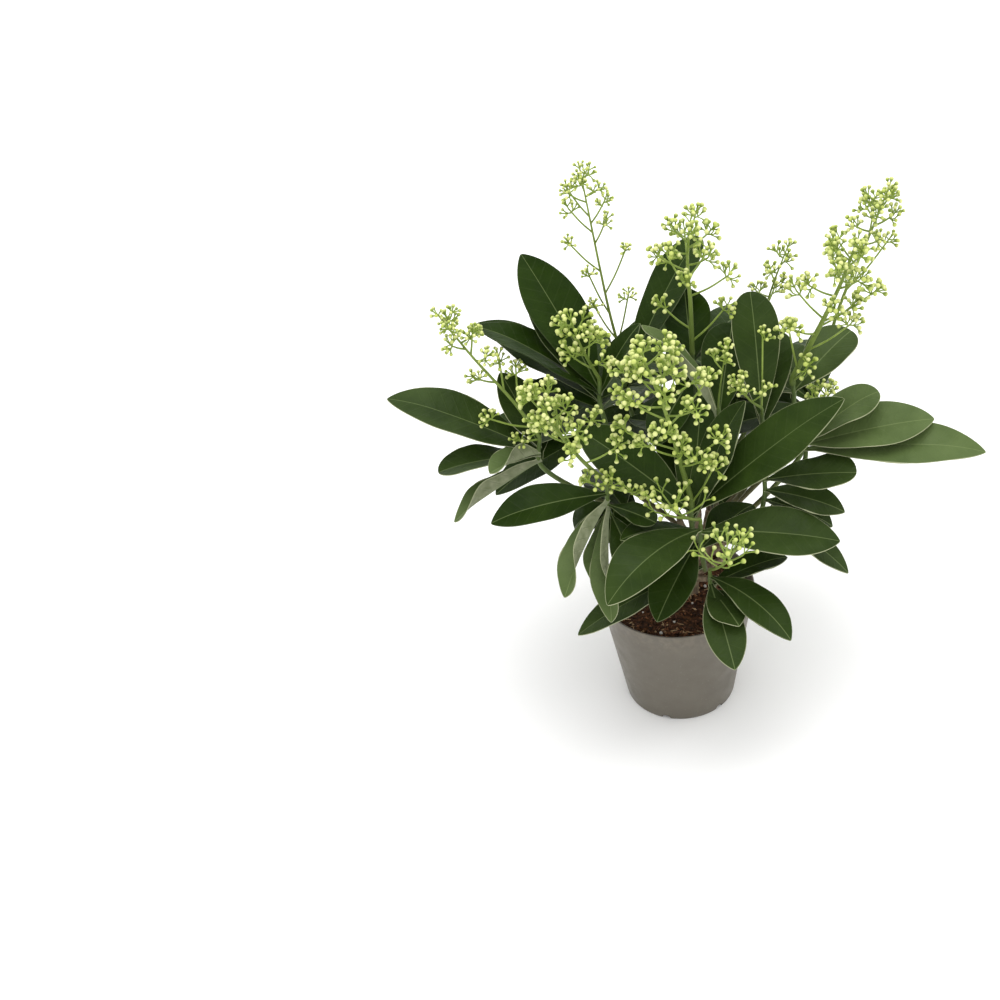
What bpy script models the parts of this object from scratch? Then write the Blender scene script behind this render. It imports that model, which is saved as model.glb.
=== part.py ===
"""Potted skimmia: a bushy evergreen shrub with panicles of closed flower buds, in a 10.5 cm nursery pot.

The pot stands on the plane z = 0 with its axis on Z. Plant sizes are in millimetres and degrees,
and MM turns them into metres. Azimuth 0 points along +X and 90 along +Y, to the plant's back.
"""

import math
import random

import bmesh
import bpy
from mathutils import Matrix, Vector
from mathutils.bvhtree import BVHTree

MM = 0.001
GAP = 0.3  # clearance between pieces that meet
MERGE = 0.001  # points nearer than this are one

# The pot, a turned plastic shell
POT_HEIGHT = 90.0
RIM_RADIUS = 52.5
BASE_RADIUS = 37.5
WALL = 1.3
BASE_THICKNESS = 2.0
EDGE_ROUND = 1.0
EDGE_TURN = 0.3  # share of the edge's round at which its outline turns
RIM_ROUND = 0.4
POT_SIDES = 32
SMOOTH_BELOW = 40.0  # facets that meet at less than this are shaded as one round surface
DRAIN_COUNT = 6
DRAIN_FIRST = -107.0
DRAIN_HEIGHT = 0.4
DRAIN_DEPTH = 12.0
DRAIN_RADIUS = 3.0
DRAIN_SIDES = 8

# The peat, a filled cup of soil with a hole for the trunk
SOIL_TOP = 83.0
SOIL_ROUGHNESS = 1.2
SOIL_PLAY = 0.4  # more clearance from the pot's flat facets
SOIL_INSETS = (10.0, 14.0)  # how far in each ring of lumps lies from the last
SURFACE_DEPTH = 0.1  # points nearer the top than this belong to the soil's surface
LEVEL_MARGIN = 1.0  # the surface stays level this near the pot's wall
HOLE_DEPTH = 20.0
HOLE_SIDES = 16

# The woody trunk
TRUNK_FOOT = (11.0, 0.0)
TRUNK_RADIUS = 4.4
TRUNK_TOP_RADIUS = 3.6
TRUNK_PATH = ((11, 0, 90), (13, 0, 101), (16, 1, 112))
WOOD_RADIUS = 2.3
WOOD_TAPER = 0.2
TRUNK_ROUNDNESS = 2  # bevel steps in a quarter of the trunk's round, against none in a slim stem
STEM_ROUNDNESS = 0

# The green shoots
SHOOT_RADIUS = 1.9
TIP_RADIUS = 1.5
STRAIGHT_TIP = 20.0
STRAIGHT_START = 8.0
STEM_STEPS = 1

# The leaf blades
BLADE_THICKNESS = 0.7
PETIOLE_HALF = 1.3
BLADE_ROWS = (0.0, 0.26, 0.5, 0.72, 0.9, 1.0)
BASE_POWER = 1.15
# Each form of blade: its arch, the fold along its midrib, and how bluntly it ends
FORMS = {"flat": (20, 9, 0.8), "round": (20, 9, 0.5), "arched": (58, 9, 0.8), "folded": (4, 64, 0.8)}
ARCH_PLAY = (-6, 8)
ROLL_PLAY = (-6, 6)
FOLD_PLAY = (-3, 4)
WAVE_HEIGHT = (0.4, 1.6)
WAVE_BEATS = 1.3
CLEARANCE = 1.1
POT_CLEARANCE = 1.0
RING_SIDES = 16  # of the pot's outline that leaves are tested against
FILL_RISE = (-12, 8)
FILL_LENGTH = (74, 92)
FILL_WIDTH = (28, 33)
FILL_DROP = 7.0
FILL_STEP = 3.5

# The panicles
GOLDEN_ANGLE = 137.5
BUD_RADIUS = 1.9
BUD_LENGTH = 3.6
PEDICEL_LENGTH = 4.2
TWIG_RADIUS = 0.6
CLUB_SIDES = 3
BUD_SHOULDER = 1.3  # how far below its tip a bud is widest
STALK_TAPER = 0.55
STALK_START = 4.0  # how far a stalk runs on in line with its shoot
STALK_STEPS = 2
FORK_ANGLE = 42.0
FORK_EVERY = 3
STALK_OVERLAP = 4.0  # how far the top twig reaches back into its stalk, and past the last branch
FORK_FROM = 0.75  # where along its branch a second bud forks off
HEAD_TAPER = 0.62  # how much shorter a head's top branches are than its lowest
HEAD_END = 0.97  # where along its stalk a head's last branch leaves
REACH_PLAY = (0.85, 1.1)
BRANCH_RISE = 0.65  # how far a side branch climbs for each millimetre it reaches out
BRANCH_LIFT = 2.0
CLUSTER_RADIUS = 6.5

# Each shoot: the wood that carries it, the bend on the way, its tip, and the leaves that ring the tip.
# A leaf is (azimuth, rise, length, width, drop below the tip, roll, form), and a roll above 0 lifts its
# left edge, seen from its foot. Fill is how many leaves follow by rule, between two azimuths.
SHOOTS = {
    "front": {
        "wood": ((13, 0, 101), (17, -12, 114)),
        "bend": (19, -26, 126),
        "tip": (17, -32, 168),
        "leaves": (
            (-136, -9, 84, 37, 4, -8, "arched"),
            (-7, -2, 88, 36, 6, 16, "flat"),
            (-160, -17, 94, 27, 40, 0, "flat"),
        ),
        "fill": (0, 0, 0),
    },
    "centre": {
        "wood": ((15, 1, 108), (16, -9, 126)),
        "bend": (15, -17, 142),
        "tip": (12, -20, 175),
        "leaves": (
            (158, 34, 91, 35, 5, -24, "flat"),
            (5, 40, 124, 36, 7, 24, "flat"),
            (34, 58, 88, 32, 14, 0, "flat"),
            (100, 30, 80, 30, 12, 0, "flat"),
            (71, 52, 85, 29, 18, 0, "flat"),
            (-152, 20, 54, 24, 20, 0, "flat"),
            (-154, -25, 61, 24, 26, 0, "flat"),
            (-120, -23, 62, 29, 34, 0, "flat"),
        ),
        "fill": (0, 0, 0),
    },
    "front_low": {
        "wood": ((12, 0, 96), (22, -13, 106)),
        "bend": (23, -30, 110),
        "tip": (22, -38, 131),
        "leaves": (
            (-40, -17, 67, 28, 2, 0, "arched"),
            (-78, -20, 64, 26, 7, 0, "flat"),
            (18, 9, 54, 22, 9, 0, "flat"),
            (-67, -2, 42, 24, 12, 0, "flat"),
        ),
        "fill": (0, 0, 0),
    },
    "left": {
        "wood": ((14, 1, 106), (-2, -7, 127)),
        "bend": (-30, -17, 154),
        "tip": (-41, -20, 192),
        "leaves": (
            (-169, -5, 77, 30, 5, -16, "flat"),
            (-117, -25, 72, 25, 9, 50, "folded"),
            (-91, -37, 77, 22, 13, 62, "folded"),
            (-112, -42, 49, 18, 17, 40, "folded"),
            (-172, -36, 29, 24, 12, 0, "round"),
            (-165, -42, 37, 15, 20, 0, "flat"),
            (-28, 2, 34, 19, 14, 0, "round"),
            (-64, -36, 46, 26, 22, 0, "round"),
        ),
        "fill": (1, 95, 95),
    },
    "far_left": {
        "wood": ((15, 1, 110), (-6, 3, 134)),
        "bend": (-58, 7, 168),
        "tip": (-84, 10, 209),
        "leaves": (
            (172, 23, 105, 36, 8, -14, "flat"),
            (-164, 4, 68, 29, 11, 0, "round"),
            (-150, -17, 70, 22, 14, 40, "folded"),
            (-135, 14, 44, 24, 8, 40, "folded"),
            (128, 47, 56, 27, 6, 0, "flat"),
            (95, 8, 80, 29, 14, 0, "flat"),
        ),
        "fill": (0, 0, 0),
    },
    "back_left": {
        "wood": ((15, 2, 111), (4, 9, 140)),
        "bend": (-30, 20, 180),
        "tip": (-43, 25, 241),
        "leaves": (
            (170, 33, 93, 32, 8, 0, "flat"),
            (149, 23, 99, 29, 14, 0, "flat"),
            (133, 52, 102, 40, 6, 0, "flat"),
            (141, 46, 81, 30, 15, 0, "flat"),
            (171, 18, 53, 26, 20, 0, "flat"),
            (24, 60, 54, 20, 8, 0, "flat"),
        ),
        "fill": (1, 70, 70),
    },
    "back_tall": {
        "wood": ((16, 2, 112), (10, 18, 146)),
        "bend": (-14, 44, 172),
        "tip": (-27, 58, 225),
        "leaves": (
            (42, 50, 106, 31, 6, 0, "round"),
            (70, 13, 68, 30, 9, 0, "flat"),
        ),
        "fill": (2, 130, 210),
    },
    "middle": {
        "wood": ((16, 2, 112), (17, 15, 148)),
        "bend": (17, 40, 190),
        "tip": (17, 50, 245),
        "leaves": (
            (94, 37, 54, 31, 9, 0, "flat"),
            (192, 14, 62, 28, 13, 0, "flat"),
            (-120, -28, 58, 28, 18, 0, "flat"),
        ),
        "fill": (1, 0, 0),
    },
    "inner": {
        "wood": ((15, 2, 106), (24, 8, 132)),
        "bend": (31, 15, 168),
        "tip": (32, 18, 222),
        "leaves": (
            (142, 42, 77, 20, 6, 40, "folded"),
            (76, 42, 66, 34, 10, 0, "round"),
            (101, 28, 62, 30, 18, 0, "flat"),
            (152, -4, 62, 28, 24, 0, "flat"),
        ),
        "fill": (1, 150, 150),
    },
    "right_high": {
        "wood": ((16, 1, 112), (33, 6, 142)),
        "bend": (52, 10, 172),
        "tip": (59, 12, 221),
        "leaves": (
            (94, 54, 85, 31, 8, 0, "round"),
            (76, 40, 68, 30, 14, 0, "round"),
        ),
        "fill": (0, 0, 0),
    },
    "right_back": {
        "wood": ((17, 2, 112), (37, 14, 138)),
        "bend": (68, 25, 172),
        "tip": (80, 30, 231),
        "leaves": (
            (37, 28, 56, 32, 8, 8, "round"),
            (90, 10, 50, 28, 12, 0, "round"),
        ),
        "fill": (1, 140, 140),
    },
    "far_right_back": {
        "wood": ((16, 3, 108), (34, 24, 132)),
        "bend": (78, 54, 160),
        "tip": (98, 66, 198),
        "leaves": (),
        "fill": (3, 90, 190),
    },
    "back_right": {
        "wood": ((15, 3, 104), (24, 30, 130)),
        "bend": (44, 62, 155),
        "tip": (58, 80, 196),
        "leaves": (),
        "fill": (4, 40, 170),
    },
    "right": {
        "wood": ((16, 1, 110), (38, 0, 130)),
        "bend": (72, 0, 162),
        "tip": (85, 0, 210),
        "leaves": (
            (15, 31, 56, 31, 4, 8, "round"),
            (-1, 12, 82, 34, 6, 14, "flat"),
            (-9, 4, 112, 32, 10, 22, "flat"),
        ),
        "fill": (0, 0, 0),
    },
    "right_low": {
        "wood": ((12, 0, 98), (32, -6, 118)),
        "bend": (52, -8, 140),
        "tip": (59, -8, 188),
        "leaves": (
            (-14, 13, 60, 31, 5, 14, "round"),
            (-17, -9, 53, 24, 13, 6, "flat"),
            (-18, -15, 47, 24, 21, 0, "flat"),
            (-30, -25, 69, 22, 30, 0, "flat"),
        ),
        "fill": (1, 100, 100),
    },
    "back_low_left": {
        "wood": ((14, 2, 100), (2, 22, 120)),
        "bend": (-32, 52, 140),
        "tip": (-50, 72, 190),
        "leaves": (),
        "fill": (5, 60, 212),
    },
    "back_low": {
        "wood": ((13, 1, 96), (16, 24, 116)),
        "bend": (16, 66, 140),
        "tip": (14, 92, 185),
        "leaves": (),
        "fill": (5, 10, 170),
    },
    "back_low_right": {
        "wood": ((15, 1, 104), (34, 14, 120)),
        "bend": (66, 36, 140),
        "tip": (88, 52, 178),
        "leaves": (),
        "fill": (5, 22, 150),
    },
}

# Each panicle: the shoot that carries it, its stalk's thickness and way up, its head as (where the head
# starts along the stalk, reach of its lowest side branches, their number), and sprays of its own as
# (where they leave the stalk, azimuth, how far out, how far up).
PANICLES = {
    "tall_left": {
        "shoot": "back_tall",
        "radius": 1.2,
        "way": ((-35, 64, 270), (-42, 62, 330), (-47, 60, 376)),
        "head": (0.84, 12, 5),
        "sprays": (
            (0.79, 178, 13, 22),
            (0.72, 178, 15, 20),
            (0.76, 2, 10, 17),
            (0.68, -10, 8, 18),
            (0.58, 180, 19, 23),
            (0.50, 2, 15, 33),
            (0.42, 212, 14, 37),
            (0.30, 200, 14, 31),
            (0.28, 4, 9, 38),
        ),
    },
    "tall_middle": {
        "shoot": "middle",
        "radius": 1.9,
        "way": ((17, 50, 282), (16, 48, 314), (18, 45, 342)),
        "head": (0.46, 25, 12),
        "sprays": ((0.26, 184, 19, 22), (0.18, -4, 23, 28)),
    },
    "tall_far_right": {
        "shoot": "far_right_back",
        "radius": 1.5,
        "way": ((113, 74, 258), (130, 76, 306), (141, 75, 340)),
        "head": (0.68, 18, 9),
        "sprays": ((0.60, 178, 14, 24), (0.50, 2, 26, 36)),
    },
    "tall_right": {
        "shoot": "right_back",
        "radius": 2.2,
        "way": ((94, 27, 270), (107, 23, 305), (116, 20, 336)),
        "head": (0.40, 24, 12),
        "sprays": (
            (0.50, 2, 34, 22),
            (0.32, -12, 28, 24),
            (0.20, 186, 6, 34),
            (0.06, -60, 17, 22),
        ),
    },
    "back_small": {
        "shoot": "back_right",
        "radius": 1.2,
        "way": ((62, 86, 230), (70, 87, 265), (80, 86, 296)),
        "head": (0.60, 11, 7),
        "sprays": (),
    },
    "left_of_centre": {
        "shoot": "back_left",
        "radius": 1.5,
        "way": ((-47, 21, 258), (-53, 16, 278), (-57, 13, 297)),
        "head": (0.34, 15, 9),
        "sprays": (),
    },
    "centre": {
        "shoot": "centre",
        "radius": 2.1,
        "way": ((6, -23, 212), (-2, -27, 255), (-14, -30, 297)),
        "head": (0.60, 32, 15),
        "sprays": (
            (0.50, 182, 34, 22),
            (0.46, 205, 24, 20),
            (0.40, -42, 18, 14),
            (0.46, -75, 10, 16),
            (0.42, -8, 26, 22),
            (0.04, -34, 19, 40),
        ),
    },
    "left": {
        "shoot": "left",
        "radius": 1.8,
        "way": ((-56, -23, 218), (-71, -27, 248), (-80, -30, 275)),
        "head": (0.36, 23, 13),
        "sprays": ((0.08, -150, 13, 9), (0.06, -50, 6, 9), (0.04, -25, 22, 2)),
    },
    "far_left": {
        "shoot": "far_left",
        "radius": 1.5,
        "way": ((-98, 12, 240), (-120, 14, 273), (-138, 15, 304)),
        "head": (0.68, 15, 7),
        "sprays": (
            (0.50, 100, 12, 20),
            (0.38, 90, 12, 24),
            (0.56, 182, 14, 6),
            (0.22, 192, 28, 14),
            (0.06, 202, 15, 5),
        ),
    },
    "front": {
        "shoot": "front",
        "radius": 1.3,
        "way": ((11, -38, 178), (2, -42, 187), (-5, -46, 197)),
        "head": (0.50, 17, 7),
        "sprays": ((0.25, 178, 28, 9),),
    },
    "front_low": {
        "shoot": "front_low",
        "radius": 1.3,
        "way": ((26, -54, 150), (33, -67, 167), (37, -74, 184)),
        "head": (0.44, 15, 10),
        "sprays": (),
    },
    "right_small": {
        "shoot": "right_high",
        "radius": 1.1,
        "way": ((51, 7, 236), (44, 5, 249)),
        "head": (0.45, 12, 4),
        "sprays": ((0.04, 80, 8, 54),),
    },
    "far_right_small": {
        "shoot": "right",
        "radius": 1.1,
        "way": ((93, 6, 225), (100, 10, 238)),
        "head": (0.60, 9, 4),
        "sprays": (),
    },
    "inner_small": {
        "shoot": "inner",
        "radius": 0.9,
        "way": ((34, 17, 245), (37, 15, 268)),
        "head": (0.70, 8, 3),
        "sprays": (),
    },
}

# How far a leaf is swung, in azimuth and rise, until it clears what is already there
NUDGE_REACHES = (0, 4, 8, 12, 16)
NUDGES = [
    (turn, lift)
    for reach in NUDGE_REACHES
    for turn in (0, reach, -reach)
    for lift in (0, reach, -reach)
]
SWINGS = [(turn, lift) for turn in (0, 14, -14, 28, -28, 42, -42, 60) for lift in (0, 12, -12, 24, -24)]


def material(name, colour, roughness):
    made = bpy.data.materials.new(name)
    made.use_nodes = True
    shader = made.node_tree.nodes["Principled BSDF"]
    shader.inputs["Base Color"].default_value = (*colour, 1.0)
    shader.inputs["Roughness"].default_value = roughness
    made.diffuse_color = (*colour, 1.0)
    return made


def add_object(name, mesh, collection):
    made = bpy.data.objects.new(name, mesh)
    collection.objects.link(made)
    return made


def evaluated_mesh(name, source):
    """The source's mesh with its modifiers applied, in world space."""
    graph = bpy.context.evaluated_depsgraph_get()
    mesh = bpy.data.meshes.new_from_object(source.evaluated_get(graph), depsgraph=graph)
    mesh.name = name
    mesh.transform(source.matrix_world)
    return mesh


def smooth_path(points, steps):
    """A Catmull-Rom curve through the points, with this many steps a stretch."""
    knots = [Vector(point) for point in points]
    ends = [2 * knots[0] - knots[1], *knots, 2 * knots[-1] - knots[-2]]
    path = [knots[0]]
    for a, b, c, d in zip(ends, ends[1:], ends[2:], ends[3:]):
        for step in range(1, steps + 1):
            t = step / steps
            bend = 2 * a - 5 * b + 4 * c - d
            turn = 3 * b - a - 3 * c + d
            path.append((2 * b + (c - a) * t + bend * t**2 + turn * t**3) / 2)
    return path


def tube(name, path, start_radius, end_radius, roundness, collection):
    """A round stem along a path in millimetres, tapering from one radius to the other, as a mesh."""
    curve = bpy.data.curves.new(name, "CURVE")
    curve.dimensions = "3D"
    curve.bevel_depth = MM
    curve.bevel_resolution = roundness
    curve.use_fill_caps = True
    spline = curve.splines.new("POLY")
    spline.points.add(len(path) - 1)
    for index, (point, place) in enumerate(zip(spline.points, path)):
        point.co = (*(place * MM), 1.0)
        point.radius = start_radius + (end_radius - start_radius) * index / (len(path) - 1)
    guide = add_object(name, curve, collection)
    mesh = evaluated_mesh(name, guide)
    bpy.data.objects.remove(guide)
    shape = bmesh.new()
    shape.from_mesh(mesh)
    bmesh.ops.remove_doubles(shape, verts=shape.verts, dist=MERGE * MM)
    bmesh.ops.recalc_face_normals(shape, faces=shape.faces)
    shape.to_mesh(mesh)
    shape.free()
    return add_object(name, mesh, collection)


def turned(name, outline, sides):
    """A closed mesh turned round Z from an outline of (radius, height)."""
    shape = bmesh.new()
    line = [shape.verts.new((radius * MM, 0, height * MM)) for radius, height in outline]
    edges = [shape.edges.new(pair) for pair in zip(line, line[1:])]
    bmesh.ops.spin(
        shape,
        geom=line + edges,
        cent=(0, 0, 0),
        axis=(0, 0, 1),
        angle=2 * math.pi,
        steps=sides,
        use_merge=True,
    )
    bmesh.ops.remove_doubles(shape, verts=shape.verts, dist=MERGE * MM)
    bmesh.ops.dissolve_degenerate(shape, edges=shape.edges, dist=MERGE * MM)
    bmesh.ops.recalc_face_normals(shape, faces=shape.faces)
    mesh = bpy.data.meshes.new(name)
    shape.to_mesh(mesh)
    shape.free()
    return mesh


def club(start, end, profile, collection):
    """A three-sided turned piece from start to end; its profile is (distance back from the end, radius)."""
    along = end - start
    outline = [(0, 0), (TWIG_RADIUS, 0)] + [(radius, along.length - back) for back, radius in profile]
    mesh = turned("club", outline, CLUB_SIDES)
    mesh.transform(Matrix.Translation(start * MM) @ along.to_track_quat("Z", "Y").to_matrix().to_4x4())
    return add_object("club", mesh, collection)


def shade(made, finish):
    """Give a piece its material, and shade its round surfaces smooth."""
    made.data.materials.clear()
    made.data.materials.append(finish)
    made.data.shade_smooth()
    made.data.set_sharp_from_angle(angle=math.radians(SMOOTH_BELOW))


def join(name, body, repeats, collection, finish):
    """One solid of a body and the collection of repeats that grow from it."""
    union = body.modifiers.new("union", "BOOLEAN")
    union.operation = "UNION"
    union.operand_type = "COLLECTION"
    union.collection = repeats
    union.solver = "EXACT"
    made = add_object(name, evaluated_mesh(name, body), collection)
    shade(made, finish)
    for piece in list(repeats.objects):
        bpy.data.objects.remove(piece)
    bpy.data.objects.remove(body)
    bpy.data.collections.remove(repeats)
    return made


def direction(azimuth, rise):
    turn, lift = math.radians(azimuth), math.radians(rise)
    return Vector((math.cos(turn) * math.cos(lift), math.sin(turn) * math.cos(lift), math.sin(lift)))


def half_width(share, width, form):
    """Half the blade's width at this share of its length: slim at the foot, widest past the middle."""
    tip_power = FORMS[form][2]
    widest = BASE_POWER / (BASE_POWER + tip_power)
    most = widest**BASE_POWER * (1 - widest) ** tip_power
    return max(width / 2 * share**BASE_POWER * (1 - share) ** tip_power / most, PETIOLE_HALF * (1 - share))


def blade_point(leaf, share, across, lift=0.0):
    """A point of a blade: share runs from foot to tip, across from -1 to 1, and lift is off its face."""
    along = direction(leaf["azimuth"], leaf["rise"])
    side = Vector((-math.sin(math.radians(leaf["azimuth"])), math.cos(math.radians(leaf["azimuth"])), 0))
    up = along.cross(side)
    hold = 1 - share**3 if leaf["form"] == "folded" else 1  # a folded leaf opens and untwists at its tip
    roll = math.radians(leaf["roll"]) * hold
    side, up = side * math.cos(roll) + up * math.sin(roll), up * math.cos(roll) - side * math.sin(roll)
    bulge = math.radians(leaf["arch"]) * leaf["length"] * share * (1 - share) / 2
    reach = across * half_width(share, leaf["width"], leaf["form"])
    fold = math.radians(leaf["fold"]) * hold
    wave = leaf["wave"] * math.sin(2 * math.pi * (WAVE_BEATS * share + leaf["phase"])) * abs(across) ** 2
    height = bulge + abs(reach) * math.sin(fold) + wave * share * (1 - share) * 4 + lift
    return leaf["foot"] + along * (leaf["length"] * share) + side * (reach * math.cos(fold)) + up * height


def blade_grid(leaf, first_row, lift):
    """The blade as rows of points and quads, from one of its rows on, for testing what it crosses."""
    rows = BLADE_ROWS[first_row:]
    points = [blade_point(leaf, share, across, lift) for share in rows for across in (-1, 0, 1)]
    quads = [
        (3 * row + column, 3 * row + column + 1, 3 * row + column + 4, 3 * row + column + 3)
        for row in range(len(rows) - 1)
        for column in (0, 1)
    ]
    return points, quads


def blade_solid(leaf, collection):
    """The blade as a thin solid: a grid bent to the blade's form, pinched at the tip, then thickened."""
    shape = bmesh.new()
    bmesh.ops.create_grid(shape, x_segments=2, y_segments=len(BLADE_ROWS) - 1, size=1)
    for vert in shape.verts:
        row = round((vert.co.y + 1) / 2 * (len(BLADE_ROWS) - 1))
        vert.co = blade_point(leaf, BLADE_ROWS[row], vert.co.x) * MM
    bmesh.ops.remove_doubles(shape, verts=shape.verts, dist=MERGE * MM)
    bmesh.ops.triangulate(shape, faces=shape.faces)
    mesh = bpy.data.meshes.new("blade")
    shape.to_mesh(mesh)
    shape.free()
    blade = add_object("blade", mesh, collection)
    thickness = blade.modifiers.new("thickness", "SOLIDIFY")
    thickness.thickness = BLADE_THICKNESS * MM
    thickness.offset = 0
    return blade


class Space:
    """What already stands in the bush, kept by owner, so that a new leaf can be tested against it."""

    def __init__(self):
        self.pieces = []

    def add(self, owner, points, faces):
        self.pieces.append((owner, points, faces))

    def tree(self, owners):
        """A search tree of the pieces whose owner passes the test, or None where there are none."""
        points, faces = [], []
        for owner, piece_points, piece_faces in self.pieces:
            if owners(owner):
                faces += [tuple(index + len(points) for index in face) for face in piece_faces]
                points += piece_points
        return BVHTree.FromPolygons(points, faces) if faces else None


def crosses(tree, leaf, first_row):
    if tree is None:
        return False
    for lift in (-CLEARANCE, 0, CLEARANCE):
        if tree.overlap(BVHTree.FromPolygons(*blade_grid(leaf, first_row, lift))):
            return True
    return False


def prism(path, radius):
    """A square tube round a path, as points and quads."""
    points, faces = [], []
    for place in path:
        points += [place + radius * Vector(way) for way in ((1, 1, 0), (-1, 1, 0), (-1, -1, 0), (1, -1, 0))]
    for ring in range(len(path) - 1):
        for side in range(4):
            low, high = 4 * ring, 4 * ring + 4
            faces.append((low + side, low + (side + 1) % 4, high + (side + 1) % 4, high + side))
    return points, faces


def bead(place, radius):
    """A small octahedron, as points and triangles."""
    ways = ((1, 0, 0), (0, 1, 0), (-1, 0, 0), (0, -1, 0), (0, 0, 1), (0, 0, -1))
    points = [place + radius * Vector(way) for way in ways]
    faces = [(side, (side + 1) % 4, pole) for side in range(4) for pole in (4, 5)]
    return points, faces


def shoot_paths(shoot):
    """The way of a shoot's wood and of its green stem, which starts a gap past the wood in line with it."""
    wood = [Vector(point) for point in shoot["wood"]]
    tip = Vector(shoot["tip"])
    onward = (wood[1] - wood[0]).normalized()
    start = wood[1] + onward * GAP
    below = tip - Vector((0, 0, STRAIGHT_TIP))
    turns = (start + onward * STRAIGHT_START, shoot["bend"], below, tip)
    return wood, [start] + smooth_path(turns, STEM_STEPS)


def stalk_path(panicle):
    """The way of a panicle's stalk, which starts a gap above its shoot's tip."""
    tip = Vector(SHOOTS[panicle["shoot"]]["tip"])
    start = tip + Vector((0, 0, GAP))
    return [start, *smooth_path((start + Vector((0, 0, STALK_START)), *panicle["way"]), STALK_STEPS)]


def point_on(path, share):
    """The point at this share of a path's points."""
    place = share * (len(path) - 1)
    index = min(int(place), len(path) - 2)
    return path[index].lerp(path[index + 1], place - index)


def side_branches(name, panicle):
    """Each side branch of a panicle as (where it leaves the stalk, where its cluster sits)."""
    draw = random.Random(name)
    path = stalk_path(panicle)
    start, reach, count = panicle["head"]
    turn = draw.uniform(0, 360)
    branches = []
    for index in range(count):
        share = (index + 0.5) / count
        out = reach * (1 - HEAD_TAPER * share) * draw.uniform(*REACH_PLAY)
        foot = point_on(path, start + (HEAD_END - start) * share)
        way = direction(turn + GOLDEN_ANGLE * index, 0)
        branches.append((foot, foot + way * out + Vector((0, 0, out * BRANCH_RISE + BRANCH_LIFT))))
    for share, azimuth, out, up in panicle["sprays"]:
        foot = point_on(path, share)
        branches.append((foot, foot + direction(azimuth, 0) * out + Vector((0, 0, up))))
    return branches


def down_stem(path, drop):
    """The point this far down a stem from its tip."""
    for upper, lower in zip(path[::-1], path[-2::-1]):
        step = (upper - lower).length
        if drop <= step:
            return upper.lerp(lower, drop / step)
        drop -= step
    return path[0]


def leaf_of(stem, draw, azimuth, rise, length, width, drop, roll, form):
    arch, fold, _ = FORMS[form]
    return {
        "azimuth": azimuth,
        "rise": rise,
        "length": length,
        "width": width,
        "form": form,
        "foot": down_stem(stem, drop),
        "arch": arch + draw.uniform(*ARCH_PLAY),
        "roll": roll + draw.uniform(*ROLL_PLAY),
        "fold": fold + draw.uniform(*FOLD_PLAY),
        "wave": draw.uniform(*WAVE_HEIGHT),
        "phase": draw.random(),
    }


def settle(leaf, tries, others, own):
    """The leaf swung aside until it crosses nothing, or None where it never clears."""
    for turn, lift in tries:
        tried = dict(leaf, azimuth=leaf["azimuth"] + turn, rise=leaf["rise"] + lift)
        if not crosses(others, tried, 0) and not crosses(own, tried, 2):
            return tried
    return None


def grow():
    """Every leaf of the bush by shoot: the listed ones first, then each shoot's filling by rule."""
    space = Space()
    ring = [direction(360 * index / RING_SIDES, 0) for index in range(RING_SIDES)]
    rim = [way * (RIM_RADIUS + POT_CLEARANCE) + Vector((0, 0, POT_HEIGHT + POT_CLEARANCE)) for way in ring]
    after = [(side + 1) % RING_SIDES for side in range(RING_SIDES)]
    walls = [(side, after[side], RING_SIDES + after[side], RING_SIDES + side) for side in range(RING_SIDES)]
    space.add("pot", [way * BASE_RADIUS for way in ring] + rim, walls)
    space.add("pot", rim, [tuple(range(RING_SIDES))])
    trunk = [Vector((*TRUNK_FOOT, SOIL_TOP)), *(Vector(point) for point in TRUNK_PATH)]
    space.add("trunk", *prism(trunk, TRUNK_RADIUS))
    for name, shoot in SHOOTS.items():
        wood, green = shoot_paths(shoot)
        space.add("wood of " + name, *prism(wood, WOOD_RADIUS))
        space.add("stem of " + name, *prism(green, SHOOT_RADIUS))
    for name, panicle in PANICLES.items():
        space.add("panicle " + name, *prism(stalk_path(panicle), panicle["radius"]))
        for foot, end in side_branches(name, panicle):
            space.add("panicle " + name, *prism([foot, end], TWIG_RADIUS))
            space.add("panicle " + name, *bead(end, CLUSTER_RADIUS))
    leaves = {name: [] for name in SHOOTS}
    for filling in (False, True):
        for name, shoot in SHOOTS.items():
            draw = random.Random(name + str(filling))
            if filling:
                count, first, last = shoot["fill"]
                specs = [
                    (
                        first + (last - first) * index / max(count - 1, 1),
                        draw.uniform(*FILL_RISE),
                        draw.uniform(*FILL_LENGTH),
                        draw.uniform(*FILL_WIDTH),
                        FILL_DROP + FILL_STEP * index,
                        0,
                        "flat",
                    )
                    for index in range(count)
                ]
            else:
                specs = shoot["leaves"]
            stem = shoot_paths(shoot)[1]
            bunch = "leaves of " + name
            for spec in specs:
                leaf = leaf_of(stem, draw, *spec)
                others = space.tree(lambda owner: owner not in ("stem of " + name, bunch))
                own = space.tree(lambda owner: owner == bunch)
                placed = settle(leaf, SWINGS if filling else NUDGES, others, own)
                if placed:
                    leaves[name].append(placed)
                    space.add(bunch, *blade_grid(placed, 0, 0.0))
    return leaves


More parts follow.
